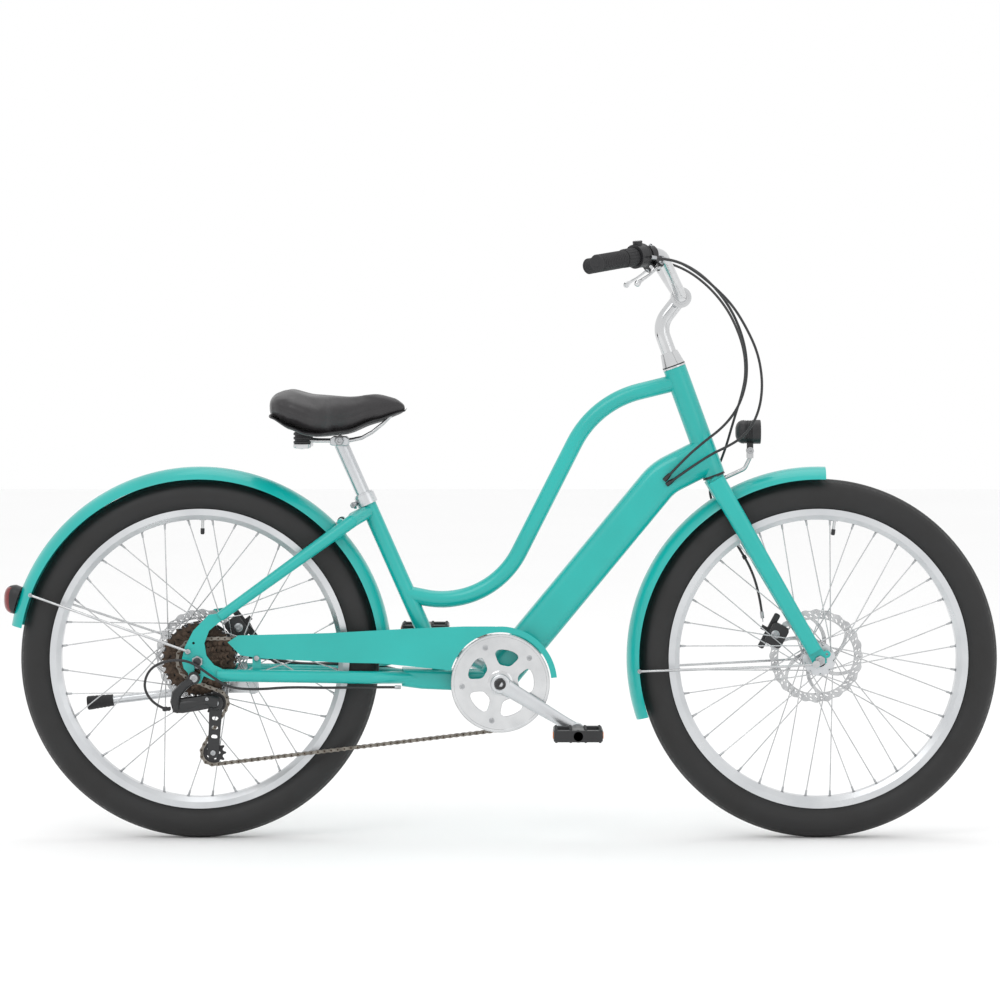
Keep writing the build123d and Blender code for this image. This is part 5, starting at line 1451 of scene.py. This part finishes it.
    def undercarriage(self) -> None:
        """Builds the rails, the post clamp with its bolt, and the two elastomer springs."""
        rails = Shape()
        for side in (1, -1):
            path = [(-72, side * 46, 8), (-60, side * 40, 7), (-45, side * 29, 6), (-30, side * 23, 6),
                    (-10, side * 21, 6), (20, side * 21, 7), (40, side * 21, 11), (60, side * 19, 22),
                    (80, side * 17, 38), (96, side * 14, 54)]
            rails.sweep([self.seat + Vector(p) for p in path], 3.5, 14)
        rails.build("saddle_rails", STAINLESS, "seat", replaces=["saddle_frame"])
        clamp = Shape()
        place = self.seat + Vector((-2, 0, 6))
        outline = [(-18, -7), (-14, -9), (14, -9), (18, -7), (18, 4), (12, 8), (-12, 8), (-18, 4)]
        clamp.plate(place, Vector((1, 0, 0)), Vector((0, 0, 1)), [outline], 52, 1.2)
        clamp.lathe(place + Vector((0, -27, 0)), Vector((0, 1, 0)), [(0, 0), (8.5, 0), (9.5, 1), (9.5, 53), (8.5, 54),
                                                                      (0, 54)], 28)
        clamp.build("saddle_clamp", ANODISED, "seat")
        bolts = Shape()
        for side in (1, -1):
            bolts.nut(place + Vector((0, side * 27, 0)), Vector((0, side, 0)), 7.5, 7)
        bolts.build("saddle_clamp_nuts", ZINC, "seat")
        rubber, cups = Shape(), Shape()
        for side in (1, -1):
            foot = self.seat + Vector((-72, side * 46, -8))
            rings = [(0, 8.5), (14, 8.5)]
            for i in range(5):
                rings += [(16.5, 10 + 8 * i), (16.5, 14 + 8 * i), (14.2, 15 + 8 * i), (14.2, 17 + 8 * i)]
            rings += [(13, 58), (0, 58)]
            rubber.lathe(foot, Vector((0, 0, 1)), rings, 40)
            cups.lathe(foot, Vector((0, 0, 1)), [(0, 0), (13, 0), (16.4, 1.5), (17, 4), (17, 8.5), (15, 9.2),
                                                 (0, 9.2)], 44)
            cups.bolt(foot, Vector((0, 0, -1)), 5, 0.9, 0.2)
        rubber.build("saddle_elastomers", ABS_BLACK, "seat")
        cups.build("saddle_spring_cups", POLISHED, "seat")


@dataclass
class Cranks:
    """Forged crank arms and the platform pedals."""

    inner_y: float = 60.0
    thickness: float = 14.0
    pedal_start: float = 88.0
    pedal_width: float = 92.0
    pedal_length: float = 96.0
    pedal_depth: float = 26.0

    def build(self) -> None:
        """Builds arms and pedals."""
        centre = joint("crank_spin")
        arms, caps = Shape(), Shape()
        arms.lathe(centre + Vector((0, -self.inner_y - 2, 0)), Vector((0, 1, 0)),
                   [(0, 0), (8.5, 0), (8.5, 2 * self.inner_y + 4), (0, 2 * self.inner_y + 4)], 32)
        for side, label in ((-1, "right"), (1, "left")):
            pedal = joint(f"{label}_pedal_spin")
            y = side * (self.inner_y + self.thickness / 2)
            out = Vector((0, side, 0))
            start, end = centre + Vector((0, y, 0)), Vector((pedal.x, y, pedal.z))
            path, radii = [], []
            for i in range(17):
                share = i / 16
                path.append(start.lerp(end, share))
                radii.append(15.5 - 5.0 * share + 2.2 * max(0.0, 1 - share * 6) + 1.6 * max(0.0, share * 6 - 5))
            arms.sweep(path, radii, 28, 0.46, (end - start).normalized().cross(out))
            half = self.thickness / 2
            arms.lathe(start - out * half, out, [(0, 0), (18, 0), (19, 1), (19, 11), (17.5, 13.2), (15, 14), (12, 14),
                                                 (11, 11), (0, 11)], 48)
            arms.lathe(end - out * half, out, [(7.1, 0), (12.5, 0), (14, 1.2), (14, 12.6), (12.6, 14), (7.1, 14)],
                       40, looped=True)
            caps.bolt(start + out * 4, out, 10.5, 6.5, 1.2)
        arms.build("crank_arms_forged", ANODISED, "crankset", replaces=["crank_arms"])
        caps.build("crank_bolts", CAST_BLACK, "crankset")
        for side, label in ((-1, "right"), (1, "left")):
            self.pedal(side, label)

    def pedal(self, side: int, label: str) -> None:
        """Builds one pedal: a frame with two windows, studs, axle and reflectors.

        Args:
            side: -1 for right, 1 for left.
            label: the side in words, for names.
        """
        centre, out = joint(f"{label}_pedal_spin"), Vector((0, side, 0))
        middle = centre + out * (self.pedal_start + self.pedal_width / 2)
        half_x, half_y = self.pedal_length / 2, self.pedal_width / 2

        def rounded(a: float, b: float, r: float, at: float = 0.0) -> list[Point]:
            """Gives a rectangle with round corners.

            Args:
                a: half the length.
                b: half the width.
                r: corner radius.
                at: shift along the length.

            Returns:
                The outline's points.
            """
            points = []
            for k, (sx, sy) in enumerate(((1, 1), (-1, 1), (-1, -1), (1, -1))):
                for i in range(5):
                    t = math.pi / 2 * (k + i / 4)
                    points.append((at + sx * (a - r) + r * math.cos(t), sy * (b - r) + r * math.sin(t)))
            return points

        body = Shape()
        loops = [rounded(half_x - 2, half_y, 10)] + [rounded(14, 33, 6, at) for at in (-26, 26)]
        body.plate(middle, Vector((1, 0, 0)), Vector((0, 1, 0)), loops, self.pedal_depth - 4, 1.6)
        body.lathe(middle - out * half_y, out, [(0, 0), (11, 0), (11.6, 2), (11.6, 2 * half_y - 2),
                                                (9, 2 * half_y), (0, 2 * half_y)], 28)
        for x in (-41, -14, 14, 41):
            for y in (-36, -18, 0, 18, 36):
                for up in (1, -1):
                    body.lathe(middle + Vector((x, y, up * 10.5)), Vector((0, 0, up)),
                               [(2.6, 0), (2.2, 2.2), (1.0, 2.6), (0, 2.6)], 10)
        body.build(f"{label}_pedal_platform", ABS_BLACK, f"pedal_{label}", replaces=[f"{label}_pedal"])
        glow = Shape()
        for way in (1, -1):
            place = middle + Vector((way * (half_x - 1.6), 0, 0))
            glow.plate(place, Vector((0, 1, 0)), Vector((0, 0, 1)), [rounded(27, 6.5, 3)], 2.4, 0.5)
        glow.build(f"{label}_pedal_reflectors", AMBER_LENS, f"pedal_{label}")
        axle = Shape()
        axle.lathe(centre + out * self.inner_y, out, [(0, 0), (7, 0), (7, 14), (8.5, 14), (8.5, 20), (7, 21),
                                                      (7, 30), (0, 30)], 28)
        axle.build(f"{label}_pedal_axle", ZINC, f"pedal_{label}")


@dataclass
class Derailleur:
    """The rear derailleur's knuckles, links, spring, screws and cage."""

    chain_y: float = -46.0
    hanger: Vector = field(default_factory=lambda: Vector((-580.0, -73.5, 311.5)))

    def build(self) -> None:
        """Builds the body on the frame, then the cage."""
        guide, tension = joint("guide_pulley_spin"), joint("tension_pulley_spin")
        body, side = Shape(), Vector((0, -1, 0))
        body.lathe(self.hanger, side, [(0, 0), (11.5, 0), (12, 1), (12, 12), (10, 14), (0, 14)], 36)
        upper = [self.hanger + Vector((-2, -8, -3)), self.hanger + Vector((-18, -5, -14)),
                 self.hanger + Vector((-33, -2, -30)), self.hanger + Vector((-36, -1, -46)),
                 self.hanger + Vector((-34, 1, -60))]
        body.sweep(upper, [10, 11.5, 13, 13, 10], 20, 0.75, Vector((0, 1, 0)))
        lower = [Vector((-622, -68, 257)), Vector((-604, -66, 258)), Vector((-575, -64, 262)),
                 Vector((-552, -62, 266)), Vector((guide.x + 3, -60, guide.z + 2))]
        body.sweep(lower, [11, 13.5, 13.0, 12.5, 11.5], 20, 1.1, Vector((0, 1, 0)))
        for lift, y in ((8, -74), (-8, -74)):
            body.plate(Vector((-585, y, 261 + lift)), Vector((1, 0, 0.14)).normalized(), Vector((-0.14, 0, 1)),
                       [slot_loop((0, 0), 66, 10, 0.0)], 4, 0.7)
        body.lathe(Vector((guide.x, -52.0, guide.z)), side,
                   [(0, 0), (13, 0), (14, 1), (14, 9), (12.5, 11.5), (0, 11.5)], 40)
        body.lathe(Vector((-614, -60, 281)), side, [(0, 0), (9, 0), (9, 15), (7.5, 16.5), (0, 16.5)], 28)
        body.build("derailleur_links", CAST_BLACK, "frame", replaces=["derailleur_body"])
        screws = Shape()
        screws.bolt(self.hanger + side * 14, side, 7.5, 3, 0.8)
        screws.bolt(Vector((guide.x, -63.5, guide.z)), side, 6, 2.5, 0.6)
        for x, z in ((-614, 281), (-612, 262), (-556, 271)):
            screws.bolt(Vector((x, -76.2, z)), side, 3.4, 1.8, 0.4)
        for x, z in ((-604, 269), (-594, 270)):
            screws.bolt(Vector((x, -66, z)), Vector((-0.14, 0, 1)), 2.6, 2.0, 0.3)
        screws.build("derailleur_screws", ZINC, "frame")
        spring = Shape()
        coil = []
        for i in range(121):
            a = TURN * i / 20
            coil.append(Vector((-606 + 40 * i / 120, -66 + 6.2 * math.cos(a), 257 + 6.2 * math.sin(a) + i * 0.04)))
        spring.sweep(coil, 0.8, 8)
        spring.build("derailleur_spring", STAINLESS, "frame")
        barrel = Shape()
        barrel.lathe(Vector((-640, -78, 252)), Vector((1, 0.2, 0.1)).normalized(),
                     [(2.6, 0), (3.4, 0.4), (4.4, 3), (4.4, 9), (3.2, 10), (3.2, 16), (0, 16)], 20)
        barrel.build("derailleur_barrel", ABS_BLACK, "frame")
        self.cage(guide, tension)

    def cage(self, guide: Vector, tension: Vector) -> None:
        """Builds the two cut-out cage plates with their bolts.

        Args:
            guide: centre of the guide pulley.
            tension: centre of the tension pulley.
        """
        along = (tension - guide).normalized()
        across = Vector((-along.z, 0, along.x))
        length = (tension - guide).length
        plates = Shape()
        outline: list[Point] = []
        for i in range(13):
            a = math.pi / 2 + math.pi * i / 12
            outline.append((13 * math.cos(a), 13 * math.sin(a)))
        outline += [(length * 0.25, -12), (length * 0.5, -11), (length * 0.75, -11)]
        for i in range(13):
            a = -math.pi / 2 + math.pi * i / 12
            outline.append((length + 11 * math.cos(a), 11 * math.sin(a)))
        outline += [(length * 0.75, 11), (length * 0.5, 11), (length * 0.25, 12)]
        windows = [slot_loop((length * share, 0), 13, 8, math.pi / 2, 7) for share in (0.32, 0.5, 0.68)]
        for y in (self.chain_y - 5.5, self.chain_y + 5.5):
            holes = windows + [[(x, z) for x, z in ring(3.1, 20)], [(length + x, z) for x, z in ring(3.1, 20)]]
            plates.plate(Vector((guide.x, y, guide.z)), along, across, [outline] + holes, 1.6, 0.3)
        tab = [(-15, -4), (-9, -12), (6, -14), (10, -8), (2, -4)]
        plates.plate(Vector((guide.x, self.chain_y - 5.5, guide.z)), along, across, [tab], 1.6, 0.3)
        plates.build("derailleur_cage_plates", CAST_BLACK, "cage", replaces=["derailleur_cage"])
        pins = Shape()
        for centre in (guide, tension):
            start = Vector((centre.x, self.chain_y + 6.2, centre.z))
            pins.lathe(start, Vector((0, -1, 0)), [(0, 0), (3.0, 0), (3.0, 12.6), (0, 12.6)], 20)
            pins.bolt(start, Vector((0, 1, 0)), 5, 2.4, 0.5)
        pins.bolt(Vector((tension.x, self.chain_y - 6.3, tension.z)), Vector((0, -1, 0)), 5, 2.4, 0.5)
        pins.build("pulley_bolts", ZINC, "cage")


@dataclass
class Lights:
    """Headlight and tail light."""

    lamp: Vector = field(default_factory=lambda: Vector((473.4, 0.0, 774.8)))
    radius: float = 23.0
    half: float = 24.0
    tail: Vector = field(default_factory=lambda: Vector((-925.5, 0.0, 454.5)))
    tail_size: tuple[float, float, float] = (24.0, 24.0, 28.0)

    def build(self) -> None:
        """Builds both lights."""
        hinge, x = joint("lamp_tilt"), Vector((1, 0, 0))
        back = self.lamp - x * self.half
        body = Shape()
        profile = [(0, 0), (9, 0.4), (15, 2.4), (19.5, 6), (22, 11), (22.6, 16)]
        for i in range(5):
            profile += [(22.6, 17 + 3 * i), (21.6, 17.6 + 3 * i), (21.6, 19 + 3 * i), (22.6, 19.6 + 3 * i)]
        profile += [(23, 34), (23, 47.2), (22.2, 48), (20.2, 48), (20, 45.5), (17, 38), (9, 31), (0, 30)]
        body.lathe(back, x, profile, 72)
        lug = [(-6, 0), (-4.4, -4.2), (0, -6), (4.4, -4.2), (6, 0), (6, 18), (-6, 18)]
        body.plate(hinge, x, Vector((0, 0, 1)), [lug, ring(2.6, 16)], 12.6, 0.6)
        body.build("headlight_housing", ABS_BLACK, "lamp", replaces=["headlight"])
        bowl = Shape()
        bowl.lathe(back, x, [(0, 31), (9, 32), (16.6, 38.6), (19.4, 44.6), (19.6, 45.6)], 60)
        bowl.lathe(back, x, [(0, 34.5), (3.0, 34.5), (3.4, 33), (3.4, 31), (0, 31)], 24)
        bowl.build("headlight_reflector", POLISHED, "lamp")
        lens = Shape()
        lens.lathe(back, x, [(0, 47.4), (10, 47.2), (17, 46.8), (20, 46.2), (20, 45.2), (17, 45.4), (10, 45.7),
                             (0, 45.8)], 60)
        lens.build("headlight_lens", LENS, "lamp")
        nuts = Shape()
        for side in (1, -1):
            nuts.nut(hinge + Vector((0, side * 10, 0)), Vector((0, side, 0)), 5.2, 3.6)
        nuts.build("lamp_hinge_nuts", ZINC, "steering")
        self.tail_light()

    def tail_light(self) -> None:
        """Builds the domed tail light, fitted to the fender, and its lens."""
        axle, fender_r = joint("rear_wheel_spin"), 366.3
        for name, finish, scale, cut in (("tail_light_housing", ABS_BLACK, 0.985, None),
                                         ("tail_light_lens", RED_LENS, 1.0, 0.62)):
            shape, rows = Shape(), []
            for i in range(25):
                tilt = math.pi * (i / 24) - math.pi / 2
                row = []
                for k in range(49):
                    turn = math.pi * (0.5 + k / 48) if cut is None else math.pi * (1 - cut / 2 + cut * k / 48)
                    level = tilt if cut is None else tilt * cut
                    flare = abs(math.cos(level)) ** 0.7
                    x = flare * math.cos(turn)
                    y = flare * math.sin(turn)
                    z = math.copysign(abs(math.sin(level)) ** 0.8, math.sin(level))
                    spot = self.tail + Vector((x * self.tail_size[0], y * self.tail_size[1],
                                               z * self.tail_size[2])) * scale
                    flat = Vector((spot.x - axle.x, spot.z - axle.z))
                    if flat.length < fender_r:
                        flat *= fender_r / flat.length
                        spot = Vector((axle.x + flat.x, spot.y, axle.z + flat.y))
                    row.append(spot)
                rows.append(row)
            shape.grid(rows, around=False)
            inner = [[p + Vector((1.6, 0, 0)) if cut is not None else Vector((
                axle.x + (p.x - axle.x) * fender_r / math.hypot(p.x - axle.x, p.z - axle.z), p.y,
                axle.z + (p.z - axle.z) * fender_r / math.hypot(p.x - axle.x, p.z - axle.z))) for p in row]
                for row in rows]
            shape.grid(inner, around=False)
            edge = [r[0] for r in rows] + rows[-1][1:] + [r[-1] for r in rows[::-1]][1:] + rows[0][-2:0:-1]
            under = [r[0] for r in inner] + inner[-1][1:] + [r[-1] for r in inner[::-1]][1:] + inner[0][-2:0:-1]
            shape.grid([edge, under])
            shape.build(name, finish, "frame", 50, ["tail_light"] if cut is None else ())


@dataclass
class Fittings:
    """Bolts, nuts and rubber parts on the frame, the brakes and the stand."""

    stand_length: float = 322.0

    def build(self) -> None:
        """Builds the small parts of each place."""
        self.frame_bolts()
        self.brakes()
        self.stand()
        self.hubs()

    def frame_bolts(self) -> None:
        """Adds the bolts of the eyelets, the fender stays, the guard and the seat collar."""
        shape, axle, front = Shape(), joint("rear_wheel_spin"), joint("front_wheel_spin")
        for side in (1, -1):
            out = Vector((0, side, 0))
            shape.bolt(Vector((-591.5, side * 80.5, 361.2)), out, 5, 3.2, 0.8)
            shape.bolt(Vector((axle.x + 343 * math.cos(math.radians(159)), side * 45,
                               axle.z + 343 * math.sin(math.radians(159)))), out, 3.6, 2.2, 0.8)
        shape.bolt(Vector((-463, -58.5, 346.5)), Vector((0, -1, 0)), 5.4, 2.4, 0.9)
        shape.bolt(Vector((-281.2, -12.0, 635.0)), Vector((0, -1, 0)), 5.6, 4.5, 1.0)
        shape.build("frame_bolts", ZINC, "frame")
        fork = Shape()
        for side in (1, -1):
            out = Vector((0, side, 0))
            fork.bolt(Vector((front.x + 343 * math.cos(math.radians(183.7)), side * 45,
                              front.z + 343 * math.sin(math.radians(183.7)))), out, 3.6, 2.2, 0.8)
        fork.bolt(joint("steer") + Vector((14.5, 0, 2)), Vector((0.94, 0, 0.34)), 5.5, 4.0, 1.0)
        fork.build("fork_bolts", ZINC, "steering")
        bridge = Shape()
        angle = math.radians(44.2)
        spot = axle + Vector((376 * math.cos(angle), 0, 376 * math.sin(angle)))
        for side in (1, -1):
            bridge.nut(spot + Vector((0, side * 9, 0)), Vector((0, side, 0)), 6.5, 5)
        bridge.build("fender_bridge_nuts", CAST_BLACK, "frame")

    def brakes(self) -> None:
        """Adds mounting bolts, adjusters, cooling fins and the cable's anchor bolt to each caliper."""
        for end, angle_deg, body, arm in (("front", 152.0, "steering", "front_arm"),
                                          ("rear", 38.0, "frame", "rear_arm")):
            centre = joint(f"{end}_brake_arm_pull")
            angle = math.radians(angle_deg)
            out, y = Vector((math.cos(angle), 0, math.sin(angle))), Vector((0, 1, 0))
            along = Vector((-math.sin(angle), 0, math.cos(angle)))
            metal = Shape()
            for way in (1, -1):
                metal.bolt(centre + out * 12 + along * way * 31 + y * 10, y, 4.6, 4.6, 0.6)
                metal.bolt(centre - out * 10 + along * way * 15 + y * 13, y, 3.4, 2.6, 0.4)
            metal.bolt(centre - y * 15, -y, 8.5, 3.2, 0.8)
            metal.build(f"{end}_caliper_bolts", ZINC, body)
            fins = Shape()
            for number in range(5):
                fins.plate(centre + along * (-12 + 6 * number) + out * 1 + y * 13.8, out, along,
                           [slot_loop((-8, 0), 22, 2.4, 0.0)], 1.6, 0.3)
            fins.build(f"{end}_caliper_fins", CAST_BLACK, body)
            anchor = Shape()
            anchor.bolt(centre + y * 17.6, y, 6.2, 2.6, 0.6)
            anchor.bolt(centre + out * 22 + y * 17.6, y, 4.2, 2.8, 0.4)
            anchor.build(f"{end}_arm_bolts", ZINC, arm)

    def stand(self) -> None:
        """Adds the stand's rubber foot and its pivot bolt."""
        found = next(j for j in frame["joints"] if j["name"] == "kickstand_fold")
        pivot, hinge = Vector(found["pos_m"]) / MM, Vector(found["axis"])
        folded = Vector((-0.9926, 0.0, -0.1218)).normalized()
        foot = Shape()
        profile = [(8.2, 0), (11.3, 0.6), (11.3, 6)]
        for i in range(4):
            profile += [(11.4 + 0.3 * i, 8 + 7 * i), (12.0 + 0.3 * i, 9.5 + 7 * i), (12.0 + 0.3 * i, 12.5 + 7 * i),
                        (11.5 + 0.3 * i, 14 + 7 * i)]
        profile += [(13.2, 38), (13.4, 49), (12, 51), (0, 51.5)]
        foot.lathe(pivot + folded * (self.stand_length - 51), folded, profile, 40)
        foot.build("stand_rubber_foot", GRIP_RUBBER, "kickstand")
        bolt = Shape()
        bolt.bolt(pivot - hinge * 10.2, -hinge, 7.5, 3.5, 1.0)
        bolt.build("stand_pivot_bolt", ZINC, "frame")

    def hubs(self) -> None:
        """Adds the motor cover's screws, the hub's seals and the axle end caps."""
        axle, motor = joint("rear_wheel_spin"), Shape()
        for x, z in ring(52.0, 8, 0.2):
            motor.bolt(axle + Vector((x, 35.6, z)), Vector((0, 1, 0)), 3.2, 1.8, 0.4)
        motor.build("motor_cover_screws", ZINC, "rear_wheel")
        ends = Shape()
        for side in (1, -1):
            ends.lathe(axle + Vector((0, side * 82.5, 0)), Vector((0, side, 0)),
                       [(6.1, 0), (7.4, 0), (7.4, 3), (5, 4.4), (0, 4.6)], 24)
        ends.build("rear_axle_caps", CAST_BLACK, "frame")
        seals, front = Shape(), joint("front_wheel_spin")
        for side in (1, -1):
            seals.lathe(front + Vector((0, side * 40.2, 0)), Vector((0, side, 0)),
                        [(9.4, 0), (14.4, 0), (14, 0.8), (9.4, 0.8)], 36, looped=True)
        seals.build("front_hub_seals", ABS_BLACK, "front_wheel")


# Control points of the cables' lines, in millimetres, as the model has them.
CABLE_ROUTES: dict[str, tuple[tuple[float, float, float], ...]] = {
    "front_brake_cable_sheath": (
        (304.7, 215.8, 1103.1), (324.6, 196.0, 1101.9), (368.6, 178.0, 1083.9), (408.6, 160.0, 1051.9),
        (440.6, 140.0, 1011.9), (460.6, 118.0, 969.9), (472.6, 98.0, 927.9), (474.6, 82.0, 883.9),
        (466.6, 70.0, 845.9), (449.6, 64.0, 793.9), (434.6, 62.0, 741.9), (419.6, 70.0, 701.9),
        (399.4, 74.0, 656.7), (422.8, 72.0, 612.4), (452.9, 62.0, 560.5), (485.3, 57.0, 506.5),
        (501.0, 56.0, 449.7), (504.9, 56.0, 415.0)),
    "shift_cable_at_bar": (
        (278.6, -268.0, 1105.9), (322.6, -240.0, 1101.9), (360.6, -214.0, 1081.9), (396.6, -190.0, 1053.9),
        (432.6, -165.0, 1019.9), (460.6, -140.0, 977.9), (484.6, -118.0, 928.9), (494.6, -98.0, 879.9),
        (493.6, -84.0, 837.9), (484.6, -76.0, 803.9), (467.6, -70.0, 774.9), (441.6, -62.0, 753.9),
        (385.6, -48.0, 726.9), (319.6, -31.5, 676.9)),
    "rear_brake_cable_at_bar": (
        (304.7, -215.8, 1103.1), (324.6, -196.0, 1101.9), (366.6, -180.0, 1081.9), (402.6, -163.0, 1049.9),
        (431.6, -145.0, 1011.9), (451.6, -125.0, 970.9), (463.6, -106.0, 928.9), (466.6, -90.0, 884.9),
        (459.6, -78.0, 846.9), (445.6, -70.0, 814.9), (420.6, -62.0, 783.9), (385.6, -54.0, 756.9),
        (351.6, -45.0, 726.9), (314.6, -32.5, 685.9)),
    "shift_cable_at_stay": (
        (-190.1, -50.0, 291.0), (-260.1, -58.0, 292.0), (-330.1, -63.0, 291.0), (-400.1, -66.0, 293.0),
        (-462.0, -70.0, 288.5), (-514.0, -80.0, 292.5), (-550.0, -92.0, 318.5), (-588.0, -95.0, 346.5),
        (-632.0, -95.0, 346.5), (-666.0, -93.0, 328.5), (-676.0, -88.0, 290.5), (-650.0, -82.0, 256.5),
        (-626.0, -76.0, 250.5)),
    "rear_brake_cable_at_stay": (
        (-182.1, 30.0, 305.0), (-245.1, 69.0, 312.0), (-320.1, 75.0, 313.0), (-392.1, 80.0, 311.0),
        (-442.0, 86.0, 326.5), (-462.0, 84.0, 354.5), (-476.0, 78.0, 382.5), (-486.0, 70.0, 404.5)),
    "motor_lead": (
        (-186.1, 30.0, 313.0), (-245.1, 56.0, 327.0), (-320.1, 60.0, 326.0), (-390.1, 65.0, 324.0),
        (-444.0, 70.0, 335.5), (-488.0, 77.0, 337.5), (-524.0, 85.0, 334.5), (-552.0, 94.0, 337.5),
        (-573.0, 88.0, 342.5)),
}


def main() -> None:
    """Builds the studio, the finishes and the pieces, in order."""
    logging.basicConfig(level=logging.INFO, format="%(message)s")
    Studio().build()
    Paintwork().build()
    Wheel("front", 40.0, (22.0, -33.0)).build()
    Wheel("rear", 49.0, (30.0, -24.0), flange_r=66.0).build()
    Cables().build()
    Chain().build()
    Drive().build()
    Cranks().build()
    Derailleur().build()
    Cockpit().build()
    Saddle().build()
    Lights().build()
    Fittings().build()


if __name__ == "__main__":
    main()
